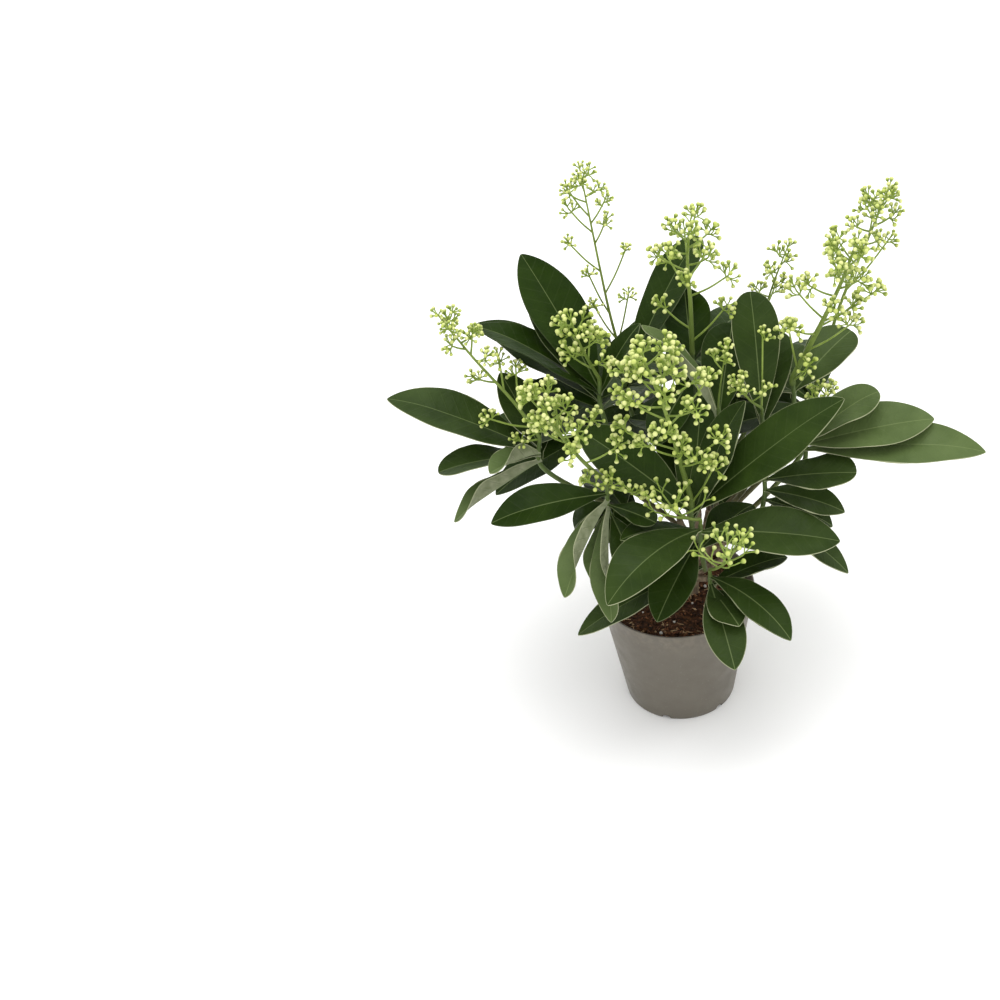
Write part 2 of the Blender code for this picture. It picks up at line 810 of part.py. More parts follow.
def make_pot(collection, cutters, finish):
    slope = (RIM_RADIUS - BASE_RADIUS) / POT_HEIGHT
    outer_low = BASE_RADIUS + slope * EDGE_ROUND
    outline = [
        (0, BASE_THICKNESS),
        (BASE_RADIUS - WALL, BASE_THICKNESS),
        (RIM_RADIUS - WALL, POT_HEIGHT - RIM_ROUND),
        (RIM_RADIUS - WALL / 2, POT_HEIGHT),
        (RIM_RADIUS, POT_HEIGHT - RIM_ROUND),
        (outer_low, EDGE_ROUND),
        (BASE_RADIUS - EDGE_TURN * EDGE_ROUND, EDGE_TURN * EDGE_ROUND),
        (BASE_RADIUS - EDGE_ROUND, 0),
        (0, 0),
    ]
    pot = add_object("pot", turned("pot", outline, POT_SIDES), collection)
    shade(pot, finish)
    for index in range(DRAIN_COUNT):
        way = direction(DRAIN_FIRST + 360 / DRAIN_COUNT * index, 0)
        middle = way * (BASE_RADIUS - DRAIN_RADIUS) + Vector((0, 0, DRAIN_HEIGHT))
        shape = bmesh.new()
        bmesh.ops.create_cone(
            shape,
            cap_ends=True,
            segments=DRAIN_SIDES,
            radius1=DRAIN_RADIUS * MM,
            radius2=DRAIN_RADIUS * MM,
            depth=DRAIN_DEPTH * MM,
            matrix=Matrix.Translation(middle * MM) @ way.to_track_quat("Z", "Y").to_matrix().to_4x4(),
        )
        mesh = bpy.data.meshes.new("drain")
        shape.to_mesh(mesh)
        shape.free()
        drain = add_object("drain_cutter", mesh, cutters)
        drain.hide_render = True
        drain.display_type = "WIRE"
        cut = pot.modifiers.new("drain", "BOOLEAN")
        cut.operation = "DIFFERENCE"
        cut.object = drain
        cut.solver = "EXACT"
    return pot


def make_soil(collection, cutters, finish):
    """A filled cup: rings of points whose top is lumpy, clear of the pot all round."""
    draw = random.Random("soil")
    shape = bmesh.new()
    bottom = BASE_THICKNESS + GAP
    slope = (RIM_RADIUS - BASE_RADIUS) / POT_HEIGHT
    bottom_radius = BASE_RADIUS - WALL - GAP - SOIL_PLAY
    top_radius = RIM_RADIUS - WALL - GAP - SOIL_PLAY - slope * (POT_HEIGHT - SOIL_TOP)
    bmesh.ops.create_cone(
        shape,
        cap_ends=True,
        segments=POT_SIDES,
        radius1=bottom_radius * MM,
        radius2=top_radius * MM,
        depth=(SOIL_TOP - bottom) * MM,
        matrix=Matrix.Translation((0, 0, (SOIL_TOP + bottom) / 2 * MM)),
    )
    for inset in SOIL_INSETS:
        top = max(shape.faces, key=lambda face: len(face.verts) * face.calc_center_median().z)
        bmesh.ops.inset_region(shape, faces=[top], thickness=inset * MM)
    top = max(shape.faces, key=lambda face: len(face.verts) * face.calc_center_median().z)
    bmesh.ops.poke(shape, faces=[top])
    for vert in shape.verts:
        on_top = vert.co.z > (SOIL_TOP - SURFACE_DEPTH) * MM
        if on_top and vert.co.xy.length < (top_radius - LEVEL_MARGIN) * MM:
            vert.co.z += draw.uniform(-1, 1) * SOIL_ROUGHNESS * MM
    bmesh.ops.triangulate(shape, faces=shape.faces)
    mesh = bpy.data.meshes.new("soil")
    shape.to_mesh(mesh)
    shape.free()
    soil = add_object("soil", mesh, collection)
    shade(soil, finish)
    shape = bmesh.new()
    bmesh.ops.create_cone(
        shape,
        cap_ends=True,
        segments=HOLE_SIDES,
        radius1=(TRUNK_RADIUS + 2 * GAP) * MM,
        radius2=(TRUNK_RADIUS + 2 * GAP) * MM,
        depth=2 * HOLE_DEPTH * MM,
        matrix=Matrix.Translation(Vector((*TRUNK_FOOT, SOIL_TOP)) * MM),
    )
    mesh = bpy.data.meshes.new("trunk_hole")
    shape.to_mesh(mesh)
    shape.free()
    hole = add_object("trunk_hole_cutter", mesh, cutters)
    hole.hide_render = True
    hole.display_type = "WIRE"
    cut = soil.modifiers.new("trunk hole", "BOOLEAN")
    cut.operation = "DIFFERENCE"
    cut.object = hole
    cut.solver = "EXACT"
    return soil


def make_trunk(collection, finish):
    """The short trunk with the woody foot of every shoot joined to it."""
    foot = Vector((*TRUNK_FOOT, SOIL_TOP - HOLE_DEPTH + GAP))
    path = [foot, *(Vector(point) for point in TRUNK_PATH)]
    repeats = bpy.data.collections.new("wood")
    bpy.context.scene.collection.children.link(repeats)
    trunk = tube("trunk_body", path, TRUNK_RADIUS, TRUNK_TOP_RADIUS, TRUNK_ROUNDNESS, collection)
    for name, shoot in SHOOTS.items():
        wood = shoot_paths(shoot)[0]
        start, end = WOOD_RADIUS + WOOD_TAPER, WOOD_RADIUS - WOOD_TAPER
        tube("wood_" + name, wood, start, end, STEM_ROUNDNESS, repeats)
    return join("trunk", trunk, repeats, collection, finish)


def make_shoot(name, leaves, collection, finish):
    repeats = bpy.data.collections.new("leaves of " + name)
    bpy.context.scene.collection.children.link(repeats)
    way = shoot_paths(SHOOTS[name])[1]
    stem = tube("stem_body", way, SHOOT_RADIUS, TIP_RADIUS, STEM_ROUNDNESS, collection)
    for leaf in leaves:
        blade_solid(leaf, repeats)
    return join("leafy_shoot_" + name, stem, repeats, collection, finish)


def make_panicle(name, panicle, collection, finish):
    """A stalk with its side branches, each ending in a bud, and a second bud forking off."""
    repeats = bpy.data.collections.new("buds of " + name)
    bpy.context.scene.collection.children.link(repeats)
    path = stalk_path(panicle)
    short_bud = ((BUD_SHOULDER, BUD_RADIUS), (0, 0))
    bud = ((BUD_LENGTH, TWIG_RADIUS), *short_bud)
    thick = panicle["radius"]
    stalk = tube("stalk_body", path[:-1], thick, thick * STALK_TAPER, STEM_ROUNDNESS, collection)
    onward = (path[-1] - path[-2]).normalized()
    club(path[-2] - onward * STALK_OVERLAP, path[-1] + onward * STALK_OVERLAP, bud, repeats)
    for index, (foot, end) in enumerate(side_branches(name, panicle)):
        along = (end - foot).normalized()
        club(foot, end + along * BUD_LENGTH, bud, repeats)
        if index % FORK_EVERY:
            continue
        across = along.orthogonal().normalized()
        across = Matrix.Rotation(math.radians(GOLDEN_ANGLE * index), 3, along) @ across
        spread = math.radians(FORK_ANGLE)
        root = foot.lerp(end, FORK_FROM)
        way = along * math.cos(spread) + across * math.sin(spread)
        club(root, root + way * (PEDICEL_LENGTH + BUD_LENGTH), short_bud, repeats)
    return join("panicle_" + name, stalk, repeats, collection, finish)


def main():
    for old in list(bpy.data.objects):
        bpy.data.objects.remove(old)
    plant = bpy.data.collections.new("potted_skimmia")
    cutters = bpy.data.collections.new("cutters")
    bpy.context.scene.collection.children.link(plant)
    bpy.context.scene.collection.children.link(cutters)
    plastic = material("pot plastic", (0.13, 0.11, 0.10), 0.5)
    peat = material("peat", (0.06, 0.025, 0.012), 0.95)
    bark = material("bark", (0.22, 0.15, 0.09), 0.8)
    leaf_green = material("leaf green", (0.02, 0.07, 0.02), 0.4)
    bud_green = material("bud green", (0.45, 0.55, 0.14), 0.5)
    make_pot(plant, cutters, plastic)
    make_soil(plant, cutters, peat)
    make_trunk(plant, bark)
    leaves = grow()
    for name in SHOOTS:
        make_shoot(name, leaves[name], plant, leaf_green)
    for name, panicle in PANICLES.items():
        make_panicle(name, panicle, plant, bud_green)


main()
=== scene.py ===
# %% [markdown]
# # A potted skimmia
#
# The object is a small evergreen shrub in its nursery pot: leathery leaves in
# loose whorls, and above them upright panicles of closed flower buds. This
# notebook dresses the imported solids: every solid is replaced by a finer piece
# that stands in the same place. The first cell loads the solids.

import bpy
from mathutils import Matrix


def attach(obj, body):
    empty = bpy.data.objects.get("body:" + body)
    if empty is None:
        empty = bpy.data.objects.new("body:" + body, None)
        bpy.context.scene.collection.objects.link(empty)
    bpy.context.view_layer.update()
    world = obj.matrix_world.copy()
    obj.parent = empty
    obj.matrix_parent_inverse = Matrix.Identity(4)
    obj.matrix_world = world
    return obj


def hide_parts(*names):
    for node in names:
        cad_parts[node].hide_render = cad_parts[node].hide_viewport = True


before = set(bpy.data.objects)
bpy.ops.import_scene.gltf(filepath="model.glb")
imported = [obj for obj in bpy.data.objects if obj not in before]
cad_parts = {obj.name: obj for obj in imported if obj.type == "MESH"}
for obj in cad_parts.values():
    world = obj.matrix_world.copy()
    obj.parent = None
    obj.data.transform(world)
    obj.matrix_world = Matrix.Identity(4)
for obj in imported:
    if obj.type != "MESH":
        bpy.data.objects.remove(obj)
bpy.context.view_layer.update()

# %% [markdown]
# ## Camera
#
# The photograph looks down on the plant from a little over one metre away.
# A camera can be aimed with a Track To constraint, or its axes can be worked
# out from three angles. The angles are used here, because the picture is also
# turned a few degrees in its own plane, which a constraint would undo.

# %% Aim the camera
import math
import random

import bmesh
import bpy
import numpy as np
from mathutils import Matrix, Vector, noise
from mathutils.bvhtree import BVHTree

CAMERA_PLACE = Vector((0.0, -0.9585, 0.9233))
CAMERA_TURN, CAMERA_DIP, CAMERA_LEAN = math.radians(-6.7), math.radians(37.96), math.radians(-6.74)
CAMERA_LENS = 67.14


def aim_camera():
    ahead = Vector((math.sin(CAMERA_TURN) * math.cos(CAMERA_DIP), math.cos(CAMERA_TURN) * math.cos(CAMERA_DIP), -math.sin(CAMERA_DIP)))
    level = Vector((math.cos(CAMERA_TURN), -math.sin(CAMERA_TURN), 0))
    above = level.cross(ahead)
    right = level * math.cos(CAMERA_LEAN) + above * math.sin(CAMERA_LEAN)
    up = above * math.cos(CAMERA_LEAN) - level * math.sin(CAMERA_LEAN)
    data = bpy.data.cameras.new("camera")
    data.lens = CAMERA_LENS
    data.sensor_width = 36.0
    camera = bpy.data.objects.new("camera", data)
    camera.matrix_world = Matrix.Translation(CAMERA_PLACE) @ Matrix((right, up, -ahead)).transposed().to_4x4()
    bpy.context.scene.collection.objects.link(camera)
    bpy.context.scene.camera = camera
    return camera


camera = aim_camera()
print("camera stands", round(CAMERA_PLACE.length, 2), "m from the pot's foot")

# %% [markdown]
# ## Floor and light
#
# The plant stands on a white sweep in a bright studio, and its shadow is only
# a soft grey round the pot. One white world light gives that, as a light tent
# does. A large panel overhead adds the gleam on the leaves and the small
# shadow round the pot, and a weaker one lifts the right side.

# %% Lay the floor and light it
FLOOR_HALF = 5.0
PANEL_SIZE = 1.8
WORLD_STRENGTH = 1.2


def plain_material(name, colour, roughness):
    made = bpy.data.materials.new(name)
    made.use_nodes = True
    shader = made.node_tree.nodes["Principled BSDF"]
    shader.inputs["Base Color"].default_value = (*colour, 1)
    shader.inputs["Roughness"].default_value = roughness
    return made


def lay_floor():
    shape = bmesh.new()
    bmesh.ops.create_grid(shape, x_segments=1, y_segments=1, size=FLOOR_HALF)
    mesh = bpy.data.meshes.new("floor")
    shape.to_mesh(mesh)
    shape.free()
    mesh.materials.append(plain_material("white sweep", (0.95, 0.95, 0.945), 0.9))
    floor = bpy.data.objects.new("floor", mesh)
    bpy.context.scene.collection.objects.link(floor)
    return floor


def hang_panel(name, place, size, power):
    data = bpy.data.lights.new(name, "AREA")
    data.shape = "DISK"
    data.size = size
    data.energy = power
    panel = bpy.data.objects.new(name, data)
    panel.location = place
    panel.rotation_mode = "QUATERNION"
    panel.rotation_quaternion = (Vector((0, 0, 0.2)) - Vector(place)).to_track_quat("-Z", "Y")
    bpy.context.scene.collection.objects.link(panel)
    return panel


def light_studio():
    world = bpy.data.worlds.new("light tent")
    world.use_nodes = True
    world.node_tree.nodes["Background"].inputs["Color"].default_value = (1.0, 1.0, 1.0, 1)
    world.node_tree.nodes["Background"].inputs["Strength"].default_value = WORLD_STRENGTH
    bpy.context.scene.world = world
    hang_panel("panel above", (0.05, 0.25, 2.4), PANEL_SIZE, 24)
    hang_panel("right fill panel", (1.8, 0.4, 1.5), PANEL_SIZE, 5)
    bpy.context.scene.view_settings.view_transform = "Standard"


floor = lay_floor()
light_studio()
print("floor and panels are in place")

# %% [markdown]
# ## The plan of the bush
#
# A bush could be scattered by a particle system, but then no leaf would stand
# where the photograph has it. Here every shoot that the photograph shows has a
# line with its own leaves, read off the picture, and the rest follow by rule.
# All lengths are in millimetres and all angles in degrees: azimuth 0 points
# right, 90 to the back. The solids were made from the same plan, so each leaf
# here lands on its solid.

# %% Sizes of pot, wood and stems
MM = 0.001
GAP = 0.3  # clearance between pieces that meet
MERGE = 0.001  # points nearer than this are one
POT_HEIGHT = 90.0
RIM_RADIUS = 52.5
BASE_RADIUS = 37.5
WALL = 1.3
BASE_THICKNESS = 2.0
DRAIN_COUNT = 6
DRAIN_FIRST = -107.0
DRAIN_HEIGHT = 0.4
DRAIN_RADIUS = 3.0
SOIL_TOP = 83.0
TRUNK_FOOT = (11.0, 0.0)
TRUNK_RADIUS = 4.4
TRUNK_TOP_RADIUS = 3.6
TRUNK_PATH = ((11, 0, 90), (13, 0, 101), (16, 1, 112))
WOOD_RADIUS = 2.3
SHOOT_RADIUS = 1.9
TIP_RADIUS = 1.5
STRAIGHT_TIP = 20.0
STRAIGHT_START = 8.0
STEM_STEPS = 1
PETIOLE_HALF = 1.3
BLADE_ROWS = (0.0, 0.26, 0.5, 0.72, 0.9, 1.0)
BASE_POWER = 1.15
# Each form of blade: its arch, the fold along its midrib, and how bluntly it ends
FORMS = {"flat": (20, 9, 0.8), "round": (20, 9, 0.5), "arched": (58, 9, 0.8), "folded": (4, 64, 0.8)}
ARCH_PLAY = (-6, 8)
ROLL_PLAY = (-6, 6)
FOLD_PLAY = (-3, 4)
WAVE_HEIGHT = (0.4, 1.6)
WAVE_BEATS = 1.3
CLEARANCE = 1.1
POT_CLEARANCE = 1.0
RING_SIDES = 16  # of the pot's outline that leaves are tested against
FILL_RISE = (-12, 8)
FILL_LENGTH = (74, 92)
FILL_WIDTH = (28, 33)
FILL_DROP = 7.0
FILL_STEP = 3.5
GOLDEN_ANGLE = 137.5
TWIG_RADIUS = 0.6
STALK_START = 4.0  # how far a stalk runs on in line with its shoot
STALK_STEPS = 2
HEAD_TAPER = 0.62  # how much shorter a head's top branches are than its lowest
HEAD_END = 0.97  # where along its stalk a head's last branch leaves
REACH_PLAY = (0.85, 1.1)
BRANCH_RISE = 0.65  # how far a side branch climbs for each millimetre it reaches out
BRANCH_LIFT = 2.0
CLUSTER_RADIUS = 6.5
print("the pot is", POT_HEIGHT, "mm tall and", 2 * RIM_RADIUS, "mm wide")

# %% [markdown]
# ## Shoots and panicles, line by line
#
# A shoot has the wood that carries it, the bend on its way, its tip, and its
# leaves as (azimuth, rise, length, width, drop below the tip, roll, form). Its
# filling is how many more leaves follow by rule between two azimuths. A
# panicle has its stalk's way, its head as (where it starts along the stalk,
# reach, number of side branches) and sprays as (where, azimuth, out, up).

# %% The shoots
SHOOTS = {
    "front": {
        "wood": ((13, 0, 101), (17, -12, 114)),
        "bend": (19, -26, 126),
        "tip": (17, -32, 168),
        "leaves": (
            (-136, -9, 84, 37, 4, -8, "arched"),
            (-7, -2, 88, 36, 6, 16, "flat"),
            (-160, -17, 94, 27, 40, 0, "flat"),
        ),
        "fill": (0, 0, 0),
    },
    "centre": {
        "wood": ((15, 1, 108), (16, -9, 126)),
        "bend": (15, -17, 142),
        "tip": (12, -20, 175),
        "leaves": (
            (158, 34, 91, 35, 5, -24, "flat"),
            (5, 40, 124, 36, 7, 24, "flat"),
            (34, 58, 88, 32, 14, 0, "flat"),
            (100, 30, 80, 30, 12, 0, "flat"),
            (71, 52, 85, 29, 18, 0, "flat"),
            (-152, 20, 54, 24, 20, 0, "flat"),
            (-154, -25, 61, 24, 26, 0, "flat"),
            (-120, -23, 62, 29, 34, 0, "flat"),
        ),
        "fill": (0, 0, 0),
    },
    "front_low": {
        "wood": ((12, 0, 96), (22, -13, 106)),
        "bend": (23, -30, 110),
        "tip": (22, -38, 131),
        "leaves": (
            (-40, -17, 67, 28, 2, 0, "arched"),
            (-78, -20, 64, 26, 7, 0, "flat"),
            (18, 9, 54, 22, 9, 0, "flat"),
            (-67, -2, 42, 24, 12, 0, "flat"),
        ),
        "fill": (0, 0, 0),
    },
    "left": {
        "wood": ((14, 1, 106), (-2, -7, 127)),
        "bend": (-30, -17, 154),
        "tip": (-41, -20, 192),
        "leaves": (
            (-169, -5, 77, 30, 5, -16, "flat"),
            (-117, -25, 72, 25, 9, 50, "folded"),
            (-91, -37, 77, 22, 13, 62, "folded"),
            (-112, -42, 49, 18, 17, 40, "folded"),
            (-172, -36, 29, 24, 12, 0, "round"),
            (-165, -42, 37, 15, 20, 0, "flat"),
            (-28, 2, 34, 19, 14, 0, "round"),
            (-64, -36, 46, 26, 22, 0, "round"),
        ),
        "fill": (1, 95, 95),
    },
    "far_left": {
        "wood": ((15, 1, 110), (-6, 3, 134)),
        "bend": (-58, 7, 168),
        "tip": (-84, 10, 209),
        "leaves": (
            (172, 23, 105, 36, 8, -14, "flat"),
            (-164, 4, 68, 29, 11, 0, "round"),
            (-150, -17, 70, 22, 14, 40, "folded"),
            (-135, 14, 44, 24, 8, 40, "folded"),
            (128, 47, 56, 27, 6, 0, "flat"),
            (95, 8, 80, 29, 14, 0, "flat"),
        ),
        "fill": (0, 0, 0),
    },
    "back_left": {
        "wood": ((15, 2, 111), (4, 9, 140)),
        "bend": (-30, 20, 180),
        "tip": (-43, 25, 241),
        "leaves": (
            (170, 33, 93, 32, 8, 0, "flat"),
            (149, 23, 99, 29, 14, 0, "flat"),
            (133, 52, 102, 40, 6, 0, "flat"),
            (141, 46, 81, 30, 15, 0, "flat"),
            (171, 18, 53, 26, 20, 0, "flat"),
            (24, 60, 54, 20, 8, 0, "flat"),
        ),
        "fill": (1, 70, 70),
    },
    "back_tall": {
        "wood": ((16, 2, 112), (10, 18, 146)),
        "bend": (-14, 44, 172),
        "tip": (-27, 58, 225),
        "leaves": (
            (42, 50, 106, 31, 6, 0, "round"),
            (70, 13, 68, 30, 9, 0, "flat"),
        ),
        "fill": (2, 130, 210),
    },
    "middle": {
        "wood": ((16, 2, 112), (17, 15, 148)),
        "bend": (17, 40, 190),
        "tip": (17, 50, 245),
        "leaves": (
            (94, 37, 54, 31, 9, 0, "flat"),
            (192, 14, 62, 28, 13, 0, "flat"),
            (-120, -28, 58, 28, 18, 0, "flat"),
        ),
        "fill": (1, 0, 0),
    },
    "inner": {
        "wood": ((15, 2, 106), (24, 8, 132)),
        "bend": (31, 15, 168),
        "tip": (32, 18, 222),
        "leaves": (
            (142, 42, 77, 20, 6, 40, "folded"),
            (76, 42, 66, 34, 10, 0, "round"),
            (101, 28, 62, 30, 18, 0, "flat"),
            (152, -4, 62, 28, 24, 0, "flat"),
        ),
        "fill": (1, 150, 150),
    },
    "right_high": {
        "wood": ((16, 1, 112), (33, 6, 142)),
        "bend": (52, 10, 172),
        "tip": (59, 12, 221),
        "leaves": (
            (94, 54, 85, 31, 8, 0, "round"),
            (76, 40, 68, 30, 14, 0, "round"),
        ),
        "fill": (0, 0, 0),
    },
    "right_back": {
        "wood": ((17, 2, 112), (37, 14, 138)),
        "bend": (68, 25, 172),
        "tip": (80, 30, 231),
        "leaves": (
            (37, 28, 56, 32, 8, 8, "round"),
            (90, 10, 50, 28, 12, 0, "round"),
        ),
        "fill": (1, 140, 140),
    },
    "far_right_back": {
        "wood": ((16, 3, 108), (34, 24, 132)),
        "bend": (78, 54, 160),
        "tip": (98, 66, 198),
        "leaves": (),
        "fill": (3, 90, 190),
    },
    "back_right": {
        "wood": ((15, 3, 104), (24, 30, 130)),
        "bend": (44, 62, 155),
        "tip": (58, 80, 196),
        "leaves": (),
        "fill": (4, 40, 170),
    },
    "right": {
        "wood": ((16, 1, 110), (38, 0, 130)),
        "bend": (72, 0, 162),
        "tip": (85, 0, 210),
        "leaves": (
            (15, 31, 56, 31, 4, 8, "round"),
            (-1, 12, 82, 34, 6, 14, "flat"),
            (-9, 4, 112, 32, 10, 22, "flat"),
        ),
        "fill": (0, 0, 0),
    },
    "right_low": {
        "wood": ((12, 0, 98), (32, -6, 118)),
        "bend": (52, -8, 140),
        "tip": (59, -8, 188),
        "leaves": (
            (-14, 13, 60, 31, 5, 14, "round"),
            (-17, -9, 53, 24, 13, 6, "flat"),
            (-18, -15, 47, 24, 21, 0, "flat"),
            (-30, -25, 69, 22, 30, 0, "flat"),
        ),
        "fill": (1, 100, 100),
    },
    "back_low_left": {
        "wood": ((14, 2, 100), (2, 22, 120)),
        "bend": (-32, 52, 140),
        "tip": (-50, 72, 190),
        "leaves": (),
        "fill": (5, 60, 212),
    },
    "back_low": {
        "wood": ((13, 1, 96), (16, 24, 116)),
        "bend": (16, 66, 140),
        "tip": (14, 92, 185),
        "leaves": (),
        "fill": (5, 10, 170),
    },
    "back_low_right": {
        "wood": ((15, 1, 104), (34, 14, 120)),
        "bend": (66, 36, 140),
        "tip": (88, 52, 178),
        "leaves": (),
        "fill": (5, 22, 150),
    },
}
print("shoots:", len(SHOOTS))

# %% The panicles
PANICLES = {
    "tall_left": {
        "shoot": "back_tall",
        "radius": 1.2,
        "way": ((-35, 64, 270), (-42, 62, 330), (-47, 60, 376)),
        "head": (0.84, 12, 5),
        "sprays": (
            (0.79, 178, 13, 22),
            (0.72, 178, 15, 20),
            (0.76, 2, 10, 17),
            (0.68, -10, 8, 18),
            (0.58, 180, 19, 23),
            (0.5, 2, 15, 33),
            (0.42, 212, 14, 37),
            (0.3, 200, 14, 31),
            (0.28, 4, 9, 38),
        ),
    },
    "tall_middle": {
        "shoot": "middle",
        "radius": 1.9,
        "way": ((17, 50, 282), (16, 48, 314), (18, 45, 342)),
        "head": (0.46, 25, 12),
        "sprays": (
            (0.26, 184, 19, 22),
            (0.18, -4, 23, 28),
        ),
    },
    "tall_far_right": {
        "shoot": "far_right_back",
        "radius": 1.5,
        "way": ((113, 74, 258), (130, 76, 306), (141, 75, 340)),
        "head": (0.68, 18, 9),
        "sprays": (
            (0.6, 178, 14, 24),
            (0.5, 2, 26, 36),
        ),
    },
    "tall_right": {
        "shoot": "right_back",
        "radius": 2.2,
        "way": ((94, 27, 270), (107, 23, 305), (116, 20, 336)),
        "head": (0.4, 24, 12),
        "sprays": (
            (0.5, 2, 34, 22),
            (0.32, -12, 28, 24),
            (0.2, 186, 6, 34),
            (0.06, -60, 17, 22),
        ),
    },
    "back_small": {
        "shoot": "back_right",
        "radius": 1.2,
        "way": ((62, 86, 230), (70, 87, 265), (80, 86, 296)),
        "head": (0.6, 11, 7),
        "sprays": (),
    },
    "left_of_centre": {
        "shoot": "back_left",
        "radius": 1.5,
        "way": ((-47, 21, 258), (-53, 16, 278), (-57, 13, 297)),
        "head": (0.34, 15, 9),
        "sprays": (),
    },
    "centre": {
        "shoot": "centre",
        "radius": 2.1,
        "way": ((6, -23, 212), (-2, -27, 255), (-14, -30, 297)),
        "head": (0.6, 32, 15),
        "sprays": (
            (0.5, 182, 34, 22),
            (0.46, 205, 24, 20),
            (0.4, -42, 18, 14),
            (0.46, -75, 10, 16),
            (0.42, -8, 26, 22),
            (0.04, -34, 19, 40),
        ),
    },
    "left": {
        "shoot": "left",
        "radius": 1.8,
        "way": ((-56, -23, 218), (-71, -27, 248), (-80, -30, 275)),
        "head": (0.36, 23, 13),
        "sprays": (
            (0.08, -150, 13, 9),
            (0.06, -50, 6, 9),
            (0.04, -25, 22, 2),
        ),
    },
    "far_left": {
        "shoot": "far_left",
        "radius": 1.5,
        "way": ((-98, 12, 240), (-120, 14, 273), (-138, 15, 304)),
        "head": (0.68, 15, 7),
        "sprays": (
            (0.5, 100, 12, 20),
            (0.38, 90, 12, 24),
            (0.56, 182, 14, 6),
            (0.22, 192, 28, 14),
            (0.06, 202, 15, 5),
        ),
    },
    "front": {
        "shoot": "front",
        "radius": 1.3,
        "way": ((11, -38, 178), (2, -42, 187), (-5, -46, 197)),
        "head": (0.5, 17, 7),
        "sprays": (
            (0.25, 178, 28, 9),
        ),
    },
    "front_low": {
        "shoot": "front_low",
        "radius": 1.3,
        "way": ((26, -54, 150), (33, -67, 167), (37, -74, 184)),
        "head": (0.44, 15, 10),
        "sprays": (),
    },
    "right_small": {
        "shoot": "right_high",
        "radius": 1.1,
        "way": ((51, 7, 236), (44, 5, 249)),
        "head": (0.45, 12, 4),
        "sprays": (
            (0.04, 80, 8, 54),
        ),
    },
    "far_right_small": {
        "shoot": "right",
        "radius": 1.1,
        "way": ((93, 6, 225), (100, 10, 238)),
        "head": (0.6, 9, 4),
        "sprays": (),
    },
    "inner_small": {
        "shoot": "inner",
        "radius": 0.9,
        "way": ((34, 17, 245), (37, 15, 268)),
        "head": (0.7, 8, 3),
        "sprays": (),
    },
}
print("panicles:", len(PANICLES))

# %% [markdown]
# ## Ways of stems and stalks
#
# A stem's way can be drawn as a Bezier curve by hand. A Catmull-Rom curve is
# used instead, since it passes through every point of the plan.

# %% Follow the stems
def smooth_path(points, steps):
    """A Catmull-Rom curve through the points, with this many steps a stretch."""
    knots = [Vector(point) for point in points]
    ends = [2 * knots[0] - knots[1], *knots, 2 * knots[-1] - knots[-2]]
    path = [knots[0]]
    for a, b, c, d in zip(ends, ends[1:], ends[2:], ends[3:]):
        for step in range(1, steps + 1):
            t = step / steps
            bend = 2 * a - 5 * b + 4 * c - d
            turn = 3 * b - a - 3 * c + d
            path.append((2 * b + (c - a) * t + bend * t**2 + turn * t**3) / 2)
    return path


def direction(azimuth, rise):
    turn, lift = math.radians(azimuth), math.radians(rise)
    return Vector((math.cos(turn) * math.cos(lift), math.sin(turn) * math.cos(lift), math.sin(lift)))


def shoot_paths(shoot):
    """The way of a shoot's wood and of its green stem, which starts a gap past the wood in line with it."""
    wood = [Vector(point) for point in shoot["wood"]]
    tip = Vector(shoot["tip"])
    onward = (wood[1] - wood[0]).normalized()
    start = wood[1] + onward * GAP
    below = tip - Vector((0, 0, STRAIGHT_TIP))
    turns = (start + onward * STRAIGHT_START, shoot["bend"], below, tip)
    return wood, [start] + smooth_path(turns, STEM_STEPS)


def stalk_path(panicle):
    """The way of a panicle's stalk, which starts a gap above its shoot's tip."""
    tip = Vector(SHOOTS[panicle["shoot"]]["tip"])
    start = tip + Vector((0, 0, GAP))
    return [start, *smooth_path((start + Vector((0, 0, STALK_START)), *panicle["way"]), STALK_STEPS)]


def point_on(path, share):
    """The point at this share of a path's points."""
    place = share * (len(path) - 1)
    index = min(int(place), len(path) - 2)
    return path[index].lerp(path[index + 1], place - index)


def side_branches(name, panicle):
    """Each side branch of a panicle as (where it leaves the stalk, where its cluster sits)."""
    draw = random.Random(name)
    path = stalk_path(panicle)
    start, reach, count = panicle["head"]
    turn = draw.uniform(0, 360)
    branches = []
    for index in range(count):
        share = (index + 0.5) / count
        out = reach * (1 - HEAD_TAPER * share) * draw.uniform(*REACH_PLAY)
        foot = point_on(path, start + (HEAD_END - start) * share)
        way = direction(turn + GOLDEN_ANGLE * index, 0)
        branches.append((foot, foot + way * out + Vector((0, 0, out * BRANCH_RISE + BRANCH_LIFT))))
    for share, azimuth, out, up in panicle["sprays"]:
        foot = point_on(path, share)
        branches.append((foot, foot + direction(azimuth, 0) * out + Vector((0, 0, up))))
    return branches


print("side branches:", sum(len(side_branches(name, panicle)) for name, panicle in PANICLES.items()))

# %% [markdown]
# ## The form of a blade
#
# A skimmia leaf is a long oval, widest past its middle, that narrows slowly
# into its stalk. It bends over a little along its length, its halves stand up
# in a shallow V, and its edge waves. One function gives any point of it from
# how far along and how far across the point lies.

# %% Points of a blade
def half_width(share, width, form):
    """Half the blade's width at this share of its length: slim at the foot, widest past the middle."""
    tip_power = FORMS[form][2]
    widest = BASE_POWER / (BASE_POWER + tip_power)
    most = widest**BASE_POWER * (1 - widest) ** tip_power
    return max(width / 2 * share**BASE_POWER * (1 - share) ** tip_power / most, PETIOLE_HALF * (1 - share))


